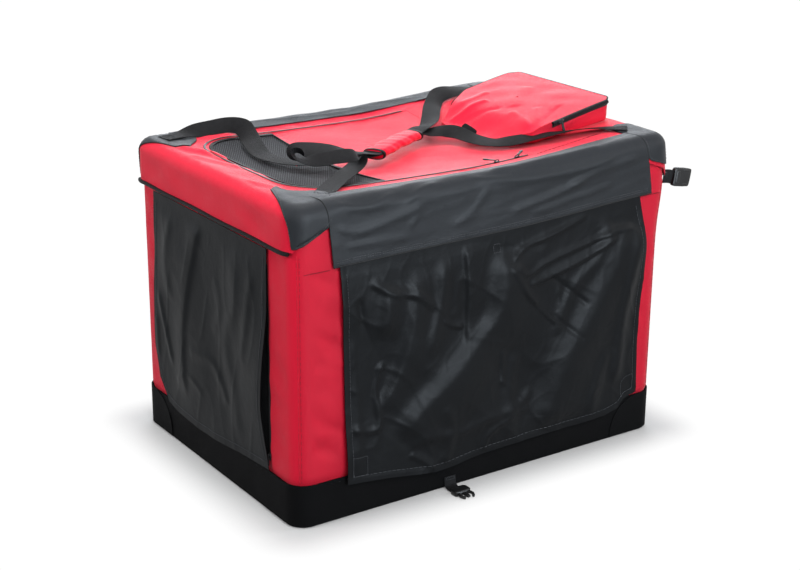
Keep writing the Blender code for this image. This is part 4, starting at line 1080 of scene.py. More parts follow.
def build_patch(name, left, top, right, tree, lift=0.0017, columns=24, rows=28):
    """A corner patch laid on the cover; its left and right edges run from its top line to one tip."""
    left, top, right = smooth_path(left, 8), smooth_path(top, 8), smooth_path(right, 8)
    tip = left[-1]
    grid = []
    for u in np.linspace(0, 1, columns):
        column = []
        for v in np.linspace(0, 0.985, rows):
            u, v = float(u), float(v)
            sides = along_line(left, v).lerp(along_line(right, v), u)
            ends = along_line(top, u).lerp(tip, v)
            corners = left[0].lerp(right[0], u).lerp(tip, v)
            column.append(sides + ends - corners)
        grid.append([tuple(p) for p in laid(column, tree, lift)])
    points = np.array(grid)
    patch = shell(name, points, 0.0014)
    dress(patch, "roof", SLATE)
    edge = grid_line(points, (0, 0, 1), ((0.0, 0.97), (0.0, 0.0), (1.0, 0.0), (1.0, 0.97)), 40)
    dress(rod(name + "_edge", [p for p, _ in edge], 0.0008, sides=6), "roof", DARK_THREAD)
    inside = Vector((0, 0, 0.3))
    for u, word in ((0.07, "_stitch"), (0.93, "_stitch_2")):
        border = grid_line(points, (0, 0, 1), ((u, 0.03), (u, 0.93)), 60)
        border = [(p, n if n.dot(p - inside) > 0 else -n) for p, n in border]
        stitches(name + word, border, "roof", GREY_THREAD)


def mirrored(lines):
    """The same lines on the back of the crate."""
    return [[(x, -y, z) for x, y, z in line] for line in lines]


PATCH_LEFT = (
    ((-0.382, -0.176, 0.577), (-0.394, -0.215, 0.576), (-0.404, -0.250, 0.568), (-0.410, -0.272, 0.552),
     (-0.411, -0.280, 0.530), (-0.410, -0.283, 0.5065)),
    ((-0.382, -0.176, 0.577), (-0.362, -0.160, 0.575), (-0.348, -0.180, 0.574), (-0.325, -0.205, 0.574),
     (-0.312, -0.232, 0.575)),
    ((-0.312, -0.232, 0.575), (-0.318, -0.268, 0.572), (-0.330, -0.290, 0.552), (-0.345, -0.291, 0.535),
     (-0.372, -0.289, 0.520), (-0.392, -0.287, 0.510), (-0.410, -0.283, 0.5065)),
)
PATCH_RIGHT = (
    ((0.404, -0.205, 0.577), (0.407, -0.240, 0.572), (0.408, -0.260, 0.560), (0.408, -0.272, 0.547),
     (0.411, -0.276, 0.533), (0.409, -0.281, 0.5200)),
    ((0.404, -0.205, 0.577), (0.393, -0.190, 0.577), (0.372, -0.178, 0.577), (0.350, -0.195, 0.577),
     (0.343, -0.215, 0.577)),
    ((0.343, -0.215, 0.577), (0.346, -0.245, 0.577), (0.350, -0.275, 0.566), (0.354, -0.289, 0.550),
     (0.360, -0.291, 0.538), (0.385, -0.289, 0.528), (0.409, -0.281, 0.5200)),
)


def build_piping(name, node, side):
    """The thick black welt sewn under an end skirt."""
    core_x, core_y = HALF_L - BASE_CORNER_R, HALF_W - BASE_CORNER_R
    radius = HALF_L + 0.005 - core_x
    level = 0.4980
    path = []
    for turn in np.linspace(30, 0, 9):
        t = math.radians(turn)
        path.append(Vector((side * (core_x + radius * math.cos(t)), -core_y - radius * math.sin(t), level)))
    path += [Vector((side * (core_x + radius), y, level + 0.0006 * math.sin(31 * y)))
             for y in np.linspace(-0.24, 0.24, 36)]
    path += [Vector((p.x, -p.y, p.z)) for p in reversed(path[:9])]
    welt = rod(name, path, 0.0037, sides=14)
    dress(welt, "roof", BINDING)
    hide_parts(node)


CORNERS = {"front_left": (-1, -1), "front_right": (1, -1), "back_left": (-1, 1), "back_right": (1, 1)}


def build_seams():
    """The double-stitched corner seams of the walls, and the level seams across the pillars."""
    core_x, core_y = WALL_X - WALL_CORNER_R, WALL_Y - WALL_CORNER_R
    for word, (side_x, side_y) in CORNERS.items():
        core = Vector((side_x * core_x, side_y * core_y, 0))
        for k, turn in enumerate((49, 57)):
            t = math.radians(turn)
            out = Vector((side_x * math.cos(t), side_y * math.sin(t), 0))
            foot = core + out * (WALL_CORNER_R + 0.0001)
            line = [(foot + Vector((0, 0, z)), out) for z in np.linspace(0.086, 0.494, 120)]
            squash_wall(stitches(f"corner_stitch_{word}_{k + 1}", line, "base", RED_THREAD, lift=0.0003))
            if k == 0:
                ridge = rod(f"corner_seam_{word}", [p - out * 0.0002 for p, _ in line], 0.0009, sides=8)
                squash_wall(dress(ridge, "base", RED))
        high = 0.462 if side_x < 0 else 0.473
        line = [(Vector((side_x * x, side_y * (WALL_Y + 0.0004), high)), Vector((0, side_y, 0)))
                for x in np.linspace(0.338, 0.390, 40)]
        squash_wall(stitches(f"pillar_stitch_{word}", line, "base", DARK_THREAD,
                             pitch=0.0026, length=0.0022, radius=0.0004))


def build_band_trim():
    """The doubled corners of the base band, and the stitching under its top edge."""
    core_x, core_y = HALF_L - BASE_CORNER_R, HALF_W - BASE_CORNER_R
    proud = 0.0003
    for word in ("front_left", "back_left", "front_right", "back_right"):
        side_x, side_y = CORNERS[word]
        plan = [(HALF_L, y, 1.0, 0.0) for y in np.linspace(0.178, core_y, 22)[:-1]]
        for t in np.linspace(0, math.pi / 2, 12):
            c, n = math.cos(t), math.sin(t)
            plan.append((core_x + BASE_CORNER_R * c, core_y + BASE_CORNER_R * n, c, n))
        plan += [(x, HALF_W, 0.0, 1.0) for x in np.linspace(core_x, 0.298, 22)[1:]]
        points = []
        for (x, y, a, b), t in zip(plan, np.linspace(-1, 1, len(plan))):
            arch = 0.004 + (BAND_HEIGHT - 0.003) * math.sqrt(1.02 - abs(t) ** 3)
            place = (side_x * (x + proud * a), side_y * (y + proud * b))
            points.append([(*place, z) for z in np.linspace(0.004, arch, 12)])
        dress(shell("band_corner_" + word, points), "base", BLACK)
    around = outline(-HALF_L, HALF_L, -HALF_W, HALF_W, (BASE_CORNER_R,) * 4, arc=14)
    line = []
    for (x, y), (p, q) in zip(around, np.roll(around, -1, axis=0)):
        out = Vector((q - y, x - p, 0))
        if out.length > 1e-6:
            line.append((Vector((x, y, BAND_HEIGHT - 0.006)), out.normalized()))
    stitches("band_stitch", [*line, line[0]], "base", GREY_THREAD, lift=0.0003)


def build_door_zips():
    """Closed zips round the three free sides of each mesh door; the left door hangs from its top."""
    for name, on_end, plane, half, start, far in (
            ("front_door_zip", False, WALL_Y, FRONT_DOOR_HALF, DOOR_SILL, FRONT_DOOR_TOP),
            ("left_door_zip", True, WALL_X, END_DOOR_HALF, END_DOOR_TOP, DOOR_SILL)):
        corners = ((-half, start), (-half, far), (half, far), (half, start))
        out = Vector((-1, 0, 0)) if on_end else Vector((0, -1, 0))
        places = [Vector((-plane, a, b)) if on_end else Vector((a, -plane, b)) for a, b in corners]
        squash_wall(strip(name, through(places, out, 40), 0.0050, 0.0010, "base", TEETH, -0.0004))


# Flaps

def cm(*points):
    """Places on the front, in centimetres from the crate's lower left corner, as metres."""
    return [((x - 41.0) / 100, z / 100) for x, z in points]


def cm_end(*points):
    """The same on the left end, from its front corner."""
    return [((y - 29.0) / 100, z / 100) for y, z in points]


def along_table(value, table):
    """The table's second column at the value, straight between its rows."""
    xs, ys = zip(*table)
    return np.interp(value, xs, ys)


# A fold is its line, its height, its width, how steep its right side is, and how long its ends taper.
# Scratch scripts printed most places in this section's tables, as centimetres on the crate, from
# places picked by eye in the photograph. Another scaled the heights in END_FOLDS.
FRONT_FOLDS = (
    (cm((43.6, 44.4), (43.4, 40.5), (43.1, 35.2), (41.6, 30.9),
        (38.2, 27.6), (32.4, 22.1), (24.9, 16.7), (21.0, 11.8)),
     0.0155, 0.066, 0.36, 0.05),
    (cm((34.8, 46.7), (34.7, 44.9), (35.4, 36.1), (35.4, 27.2)), 0.0050, 0.030, 0.18, 0.03),
    (cm((12.5, 40.8), (13.6, 34.2), (15.2, 27.4)), -0.0040, 0.007, 1.0, 0.02),
    (cm((14.2, 43.0), (19.2, 40.0), (23.8, 38.9), (28.2, 35.3)), 0.0042, 0.010, 0.5, 0.02),
    (cm((29.4, 33.3), (32.1, 31.5), (34.7, 30.8)), 0.0030, 0.007, 0.5, 0.01),
    (cm((10.5, 16.8), (15.4, 15.5), (16.7, 17.3), (15.9, 23.1), (17.6, 28.3)), 0.0034, 0.008, 0.7, 0.015),
    (cm((18.3, 42.5), (18.1, 37.1), (16.7, 31.7)), 0.0080, 0.030, 0.5, 0.04),
    (cm((24.5, 43.9), (23.4, 33.2), (20.5, 24.4), (16.1, 17.6)), 0.0080, 0.034, 0.4, 0.05),
    (cm((29.8, 44.9), (29.3, 36.1), (26.4, 26.4)), 0.0060, 0.018, 0.7, 0.04),
    (cm((43.2, 25.2), (43.5, 17.2)), 0.0026, 0.007, 0.6, 0.015),
    (cm((22.0, 9.8), (26.6, 11.7), (33.9, 10.9), (39.4, 11.8), (46.8, 12.8), (51.1, 15.6)),
     0.0036, 0.012, 0.7, 0.03),
    (cm((39.3, 5.6), (40.7, 8.9), (45.9, 11.2), (50.2, 11.8)), 0.0030, 0.009, 0.7, 0.015),
    (cm((22.5, 9.5), (25.1, 7.8), (28.4, 5.2)), 0.0030, 0.008, 0.7, 0.01),
    (cm((44.6, 41.2), (47.8, 43.3), (53.4, 44.3), (62.4, 46.5)), 0.0036, 0.007, 0.6, 0.015),
    (cm((45.1, 40.9), (48.1, 38.1), (53.1, 39.6), (62.0, 41.2), (69.3, 42.4), (74.0, 42.0)),
     0.0036, 0.007, 0.6, 0.02),
    (cm((48.1, 36.0), (53.8, 36.8), (61.9, 38.7), (69.3, 41.5)), 0.0050, 0.010, 0.45, 0.02),
    (cm((53.8, 36.8), (58.9, 32.7), (63.0, 29.3)), -0.0030, 0.0055, 1.0, 0.015),
    (cm((50.0, 32.6), (56.0, 27.8), (62.0, 22.6)), -0.0032, 0.0055, 1.0, 0.015),
    (cm((43.8, 40.9), (49.0, 33.6), (56.1, 26.9)), 0.0044, 0.009, 0.5, 0.02),
    (cm((72.2, 43.9), (69.6, 36.1), (64.5, 28.3), (58.4, 19.5), (55.1, 10.8), (54.6, 5.7)),
     0.0170, 0.060, 0.55, 0.05),
    (cm((67.7, 44.9), (65.2, 38.6), (58.9, 33.2), (55.0, 24.5)), 0.0044, 0.016, 0.7, 0.03),
    (cm((75.4, 43.9), (73.0, 34.2), (71.1, 22.5), (70.5, 10.9)), 0.0080, 0.018, 0.8, 0.05),
    (cm((68.6, 20.6), (65.2, 12.8), (64.7, 6.0)), 0.0050, 0.016, 0.8, 0.03),
    (cm((45.8, 5.8), (45.3, 16.7), (46.9, 24.5)), 0.0040, 0.018, 0.8, 0.03),
    (cm((30.7, 5.0), (31.7, 12.8), (29.8, 17.6)), 0.0040, 0.014, 0.8, 0.02),
    (cm((12.2, 6.9), (12.2, 20.5), (11.3, 34.2)), 0.0030, 0.012, 0.8, 0.04),
)
FRONT_HEM = cm((10.0, 6.7), (14.2, 6.3), (19.1, 5.8), (24.9, 5.0), (28.8, 4.5), (32.7, 4.5), (39.5, 5.1),
               (49.2, 5.6), (61.8, 5.6), (68.6, 5.9), (71.8, 6.6), (73.2, 8.2), (76.5, 8.8))


def build_front_flap():
    """The large flap in front: its heading is sewn to the roof's edge, and the rest swings."""
    u, v = unit_grid(231, 161)
    left = along_table(v, ((0, -0.321), (0.4, -0.314), (1, -0.310)))
    right = along_table(v, ((0, 0.338), (0.15, 0.351), (0.4, 0.356), (0.75, 0.353), (1, 0.356)))
    x = left * (1 - u) + right * u
    top = FRONT_FLAP_TOP + 0.0080 * u
    hem = along_table(x, FRONT_HEM)
    z = top * (1 - v) + hem * v
    out = np.zeros_like(x)
    for line, high, wide, steep, taper in FRONT_FOLDS:
        out += crease(x, z, line, high, wide, steep, taper)
    out += 0.0013 * ridges(x + 0.7 * z, 0.35 * (z - 0.7 * x), 0.110, 41) ** 2 * ramped(v, 0.1)
    out += 0.0005 * ridges(x - 0.5 * z, 0.5 * (z + 0.5 * x), 0.060, 43) ** 2
    out += 0.0042 * (waves(x + 0.6 * z, 0.4 * z, 0.17, 47) + 1) * ramped(v, 0.25)
    out = np.maximum(out, 0)
    gather = ramped(v, 0.06)
    out = 0.0008 + out * gather
    out = capped(out, 0.027)
    hem_roll = 0.0008 * np.maximum(ramped(v - 0.972, 0.006),
                                   ramped(0.014 - np.minimum(u, 1 - u), 0.003))
    y = -(HALF_W + 0.0010 + out + hem_roll)
    points = np.stack([x, y, z], 2)

    def heading(i, j):
        """The part above the line that the flap swings on."""
        mid_x, mid_z = points[i, j, 0], points[i, j:j + 2, 2].mean()
        return mid_z + rise_at(mid_x, mid_z) > FRONT_FLAP_HINGE

    dress(shell("front_flap_heading", points, FLAP_CLOTH, keep=heading), "roof", FLAP)
    flap = shell("front_flap_cloth", points, FLAP_CLOTH, keep=lambda i, j: not heading(i, j))
    dress(flap, "flap_front", FLAP)
    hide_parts("front_flap")
    squash_flap(flap)
    border = ((0.017, 0.04), (0.017, 0.968), (0.983, 0.968), (0.983, 0.04))
    row = grid_line(points, (0, -1, 0), border, 200)
    squash_flap(stitches("front_flap_stitch", row, "flap_front", GREY_THREAD))
    squares = {"loop": (0.478, 0.055, 0.500, 0.092), "tack": (0.938, 0.888, 0.983, 0.968),
               "tab": (0.017, 0.880, 0.062, 0.968)}
    for name, (u0, v0, u1, v1) in squares.items():
        row = grid_line(points, (0, -1, 0), ((u0, v0), (u1, v0), (u1, v1), (u0, v1), (u0, v0)), 32)
        square = stitches(f"front_flap_{name}_stitch", row, "flap_front", GREY_THREAD,
                          pitch=0.0034, length=0.0024)
        squash_flap(square)


END_FOLDS = (
    (cm_end((31.6, 48.6), (35.0, 40.1), (37.9, 30.7), (39.5, 21.5), (39.3, 10.8)), 0.0044, 0.030, 0.30, 0.05),
    (cm_end((37.4, 21.6), (29.3, 22.2), (26.1, 20.1), (22.3, 15.2)), 0.0024, 0.014, 0.6, 0.02),
    (cm_end((49.4, 30.8), (47.0, 23.1), (44.6, 15.3)), 0.0028, 0.010, 0.7, 0.03),
    (cm_end((50.3, 25.0), (50.4, 15.3)), 0.0017, 0.008, 0.7, 0.02),
    (cm_end((20.4, 46.2), (19.0, 36.5), (23.3, 27.8), (20.4, 19.1), (18.4, 9.4)), 0.0028, 0.022, 0.8, 0.05),
    (cm_end((12.7, 44.3), (15.1, 33.6), (17.0, 24.9)), 0.0022, 0.014, 0.7, 0.04),
    (cm_end((43.6, 46.3), (45.5, 36.6), (43.5, 28.8)), 0.0022, 0.016, 0.8, 0.03),
    (cm_end((28.1, 40.4), (25.2, 33.6), (28.1, 26.9)), 0.0017, 0.014, 0.8, 0.03),
    (cm_end((43.5, 13.4), (37.7, 16.3), (31.9, 14.3)), 0.0017, 0.010, 0.6, 0.02),
)
END_HEM = cm_end((6.8, 8.7), (8.8, 8.6), (19.4, 7.8), (28.1, 6.9), (34.8, 6.6), (43.4, 6.9), (47.3, 7.7),
                 (50.2, 11.1), (52.1, 13.1))


def build_left_flap():
    """The flap on the left end, which bows outward along its free edges."""
    u, v = unit_grid(151, 141)
    near = along_table(v, ((0, -0.206), (0.35, -0.205), (0.55, -0.198), (0.72, -0.192),
                           (0.88, -0.198), (1, -0.205)))
    far = along_table(v, ((0, 0.216), (0.3, 0.219), (0.55, 0.224), (0.85, 0.229), (1, 0.217)))
    y = near * (1 - u) + far * u
    z = LEFT_FLAP_TOP * (1 - v) + along_table(y, END_HEM) * v
    out = np.zeros_like(y)
    for line, high, wide, steep, taper in END_FOLDS:
        out += crease(y, z, line, high, wide, steep, taper)
    out += 0.0007 * ridges(y, 0.4 * z, 0.12, 51) ** 2 * ramped(v, 0.1)
    out += 0.0028 * (waves(y + 0.2 * z, z * 0.4, 0.17, 53) + 1) * ramped(v, 0.25)
    out = np.maximum(out, 0)
    bow = np.sin(math.pi * ramped(v - 0.28, 0.70)) ** 1.2
    out += 0.0080 * np.exp(-(u / 0.16) ** 2) * bow + 0.0025 * np.exp(-((1 - u) / 0.12) ** 2) * bow
    out = 0.0002 + out * ramped(v - 0.03, 0.06)
    out = capped(out, 0.022)
    x = -(HALF_L + 0.0012 + out)
    points = np.stack([x, y, z], 2)
    flap = shell("left_flap_cloth", points, FLAP_CLOTH)
    dress(flap, "flap_left", FLAP)
    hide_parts("left_flap")
    squash_flap(flap)
    border = ((0.025, 0.04), (0.025, 0.968), (0.975, 0.968), (0.975, 0.04))
    row = grid_line(points, (-1, 0, 0), border, 160)
    squash_flap(stitches("left_flap_stitch", row, "flap_left", GREY_THREAD))


def build_plain_flap(name, node, body, end):
    """A flap that the photograph doesn't show: it hangs in broad, soft folds."""
    half = 0.221 if end else 0.341
    middle = 0.024 if end else 0.019
    u, v = unit_grid(121, 91)
    s = middle + half * (2 * u - 1)
    top, foot = (RIGHT_FLAP_TOP, 0.066) if end else (FRONT_FLAP_TOP, 0.047)
    z = top * (1 - v) + (foot + 0.004 * np.sin(math.tau * 1.5 * u)) * v
    lean = 0.6 if end else -0.5
    out = 0.0045 * v * (0.5 + 0.5 * np.sin(math.tau * (3.1 * u + 0.3 * v)))
    fine = ridges(s + lean * z, 0.35 * (z - lean * s), 0.10, 61 if end else 67) ** 2
    out += 0.0016 * fine * ramped(v, 0.1)
    out += 0.0040 * (waves(s + lean * z, 0.4 * z, 0.17, 63 if end else 65) + 1) * ramped(v, 0.25)
    out = np.maximum(out, 0) * ramped(v - 0.03, 0.06) + 0.0002
    face = (HALF_L if end else HALF_W) + 0.0012 + out
    points = np.stack([face, s, z], 2) if end else np.stack([s, face, z], 2)
    flap = shell(name, points, FLAP_CLOTH)
    dress(flap, body, FLAP)
    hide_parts(node)
    squash_flap(flap)


# Pouch

POUCH_LEFT, POUCH_RIGHT, POUCH_FRONT, POUCH_BACK = 0.165, 0.392, -0.140, 0.160


def rim_height(x, y):
    """The rim climbs to the right, and its left end droops on the roof."""
    slant = 0.583 + 0.16 * (x - POUCH_LEFT)
    share = ramped(x - POUCH_LEFT, 0.055)
    share = smoothed(share)
    return slant * share + (roof_top(x, y) + 0.0075) * (1 - share)


def pouch_plan(inset, steps=14):
    """The pouch's plan with softened corners."""
    left, right = POUCH_LEFT + inset, POUCH_RIGHT - inset
    front, back = POUCH_FRONT + inset, POUCH_BACK - inset
    corners = [Vector(p) for p in (
        (left + 0.038, front), (right - 0.012, front), (right, front + 0.012), (right, back - 0.018),
        (right - 0.018, back), (left + 0.100, back),
        (left - 0.006, back - 0.064), (left - 0.014, front + 0.105))]
    points = []
    for k, corner in enumerate(corners):
        before, after = corners[k - 1], corners[(k + 1) % len(corners)]
        soft = min(0.007, 0.35 * (corner - before).length, 0.35 * (after - corner).length)
        a, b = corner + (before - corner).normalized() * soft, corner + (after - corner).normalized() * soft
        for t in np.linspace(0, 1, 5):
            points.append(a.lerp(corner, t).lerp(corner.lerp(b, t), t))
        other = after + (corner - after).normalized() * soft
        for t in np.linspace(0, 1, steps)[1:-1]:
            points.append(b.lerp(other, t))
    return np.array([tuple(p) for p in points])


def build_pouch():
    """The bag of the pouch: soft walls from the roof to the zipped rim, and a floor."""
    outer = pouch_plan(0.0006)
    middle = outer.mean(axis=0)
    rings = []
    for t in np.linspace(0.94, 0.0, 8):
        plan = outer * (1 - t) + middle * t
        rings.append(np.column_stack([plan, roof_top(*plan.T) + 0.0024]))
    foot = roof_top(*outer.T) + 0.0024
    top = rim_height(*outer.T) - 0.0002
    direction = outer - middle
    direction = direction / np.linalg.norm(direction, axis=1, keepdims=True)
    for t in np.linspace(0, 1, 12)[1:]:
        tall = ramped(top - foot, 0.05)
        bulge = 0.0034 * math.sin(math.pi * t) * tall - 0.0030 * t * (1 - t)
        run = np.arctan2(direction[:, 1], direction[:, 0])
        uneven = waves(run * 0.15, np.full_like(run, t * 0.05), 0.04, 71)
        bulge = bulge + 0.0012 * math.sin(math.pi * t) * uneven
        plan = outer + direction * bulge[:, None]
        rings.append(np.column_stack([plan, foot * (1 - t) + top * t]))
    bag = shell("pouch_cloth", np.stack(rings, 1), wrap=True)
    dress(bag, "roof", RED)
    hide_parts("pouch_bag")


def build_pouch_lid():
    """The lid: taut cloth with folds that run to the gathers at its low corners."""
    outer = pouch_plan(0.0)
    middle = np.array([0.285, 0.015])
    rings = []
    for t in np.linspace(0.985, 0, 40):
        plan = outer * (1 - t) + middle * t
        x, y = plan[:, 0], plan[:, 1]
        dome = 0.0040 * (1 - (1 - t) ** 3)
        z = rim_height(x, y) + 0.0012 + dome * np.clip((x - 0.150) / 0.08, 0.3, 1)
        gathers = 0.0
        for line, high, wide in LID_FOLDS:
            gathers = gathers + crease(x, y, line, high, wide, taper=0.012)
        z = z + (gathers + 0.0008 * waves(x, y, 0.07, 75)) * min(1, 5 * t + 0.1)
        rings.append(np.column_stack([plan, z]))
    points = np.stack(rings, 1)

    def sewn(i, j):
        """The part on the roof's side of the line that the lid swings on."""
        x, y = points[i, j:j + 2, :2].mean(axis=0)
        return x < 0.167 + 0.194 * max(0.0, 0.092 - y)

    dress(shell("pouch_sewn_edge", points, wrap=True, keep=sewn), "roof", RED)
    lid = shell("pouch_lid_cloth", points, wrap=True, keep=lambda i, j: not sewn(i, j))
    dress(lid, "lid", RED)
    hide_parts("pouch_lid")
    out = Vector((-0.62, -0.55, 0.56)).normalized()
    along = Vector((0.63, -0.43, -0.65))
    along = (along - out * along.dot(out)).normalized()
    cushion("pouch_tab", Vector((0.1545, -0.004, 0.5725)), along, along.cross(out), out,
            (0.034, 0.015, 0.0032), "roof", BINDING, soft=0.25)


def build_pouch_zip():
    """Piping round the rim, and the hooded zip along the right half of its front."""
    plan = pouch_plan(-0.0010)
    rim = [Vector((x, y, float(rim_height(x, y)) + 0.0006)) for x, y in plan]
    start = next(k for k, p in enumerate(rim) if p.x > 0.235 and p.y < -0.13)
    end = max(k for k, p in enumerate(rim) if p.y > 0.12)
    dress(rod("pouch_piping", rim[start:end], 0.0017, sides=8), "lid", BINDING)
    teeth = [(p + Vector((0, 0, -0.0060)), (p - Vector((0.285, 0.010, p.z))).normalized())
             for p in rim[start:end]]
    strip("pouch_zip", teeth, 0.0080, 0.0010, "roof", TEETH, 0.0004)
    hood = []
    for x in np.linspace(0.247, 0.380, 30):
        hood.append(Vector((x, POUCH_FRONT - 0.0030, float(rim_height(x, POUCH_FRONT)) - 0.0016)))
    dress(rod("pouch_zip_hood", hood, 0.0046, flat=0.85), "roof", BINDING)


LID_FOLDS = (
    (((0.215, -0.138), (0.240, -0.100), (0.275, -0.060)), 0.0040, 0.007),
    (((0.228, -0.138), (0.262, -0.112), (0.310, -0.090)), -0.0026, 0.006),
    (((0.205, -0.125), (0.222, -0.080), (0.230, -0.030)), 0.0034, 0.007),
    (((0.168, 0.085), (0.205, 0.070), (0.250, 0.060)), 0.0040, 0.008),
    (((0.172, 0.060), (0.205, 0.030), (0.240, 0.000)), -0.0026, 0.007),
    (((0.190, 0.120), (0.230, 0.100), (0.280, 0.100)), 0.0030, 0.008),
    (((0.250, -0.020), (0.300, 0.030), (0.340, 0.050)), 0.0022, 0.014),
)


# Handle

GRIP_MIDDLE = Vector((-0.020, -0.004, 0.573))
GRIP_ALONG = Vector((0.16, 0.092, 0)).normalized()
GRIP_ACROSS = Vector((0.092, -0.16, 0)).normalized()
GRIP_HALF = 0.0825


def build_grip():
    """The padded red wrap, with its seam and its two bound ends."""
    rings, path = [], []
    for t in np.linspace(-1, 1, 49):
        reach = GRIP_HALF * t
        ease = (1 - abs(t) ** 14) ** 0.5 * 0.12 + 0.88
        middle = GRIP_MIDDLE + GRIP_ALONG * reach + Vector((0, 0, 0.0018 * (1 - t * t) - 0.0010))
        ring = []
        for k in range(40):
            turn = math.tau * k / 40
            c, n = squared(turn, 0.75)
            wide, tall = 0.0205 * c, 0.0088 * n
            dent = 1 + 0.05 * math.sin(9.0 * t + 2 * turn) + 0.03 * math.sin(23 * t + turn * 3)
            lap = 0.0014 if 0.10 * math.tau < turn < 0.42 * math.tau else 0.0
            ring.append(middle + GRIP_ACROSS * wide * ease * dent + Vector((0, 0, tall * ease * dent + lap)))
        rings.append(ring)
        path.append(middle)
    wrap = sweep("grip_cloth", path, rings)
    dress(wrap, "handle", RED)
    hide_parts("grip_wrap")
    for side, word in ((-1, "left"), (1, "right")):
        centre = GRIP_MIDDLE + GRIP_ALONG * side * (GRIP_HALF - 0.0025) - Vector((0, 0, 0.0008))
        turns = [squared(math.tau * k / 32, 0.75) for k in range(32)]
        loop = [centre + GRIP_ACROSS * 0.0208 * c + Vector((0, 0, 0.0091 * n)) for c, n in turns]
        rings = []
        for p in loop:
            out = (p - centre).normalized()
            rings.append([p + out * a + GRIP_ALONG * b for a, b in (
                (-0.001, -0.0035), (0.0008, -0.0040), (0.0012, -0.0020), (0.0012, 0.0020), (0.0008, 0.0040),
                (-0.001, 0.0035))])
        bound = sweep(f"grip_binding_{word}", loop, rings, closed=True)
        dress(bound, "handle", BINDING)
    seam = []
    for t in np.linspace(-0.93, 0.93, 60):
        middle = GRIP_MIDDLE + GRIP_ALONG * GRIP_HALF * t + Vector((0, 0, 0.0018 * (1 - t * t)))
        place = middle - GRIP_ACROSS * 0.0150 + Vector((0, 0, 0.0066))
        seam.append((place, Vector((-0.4, 0.6, 0.9)).normalized()))
    stitches("grip_stitch", seam, "handle", RED_THREAD, lift=0.0004)


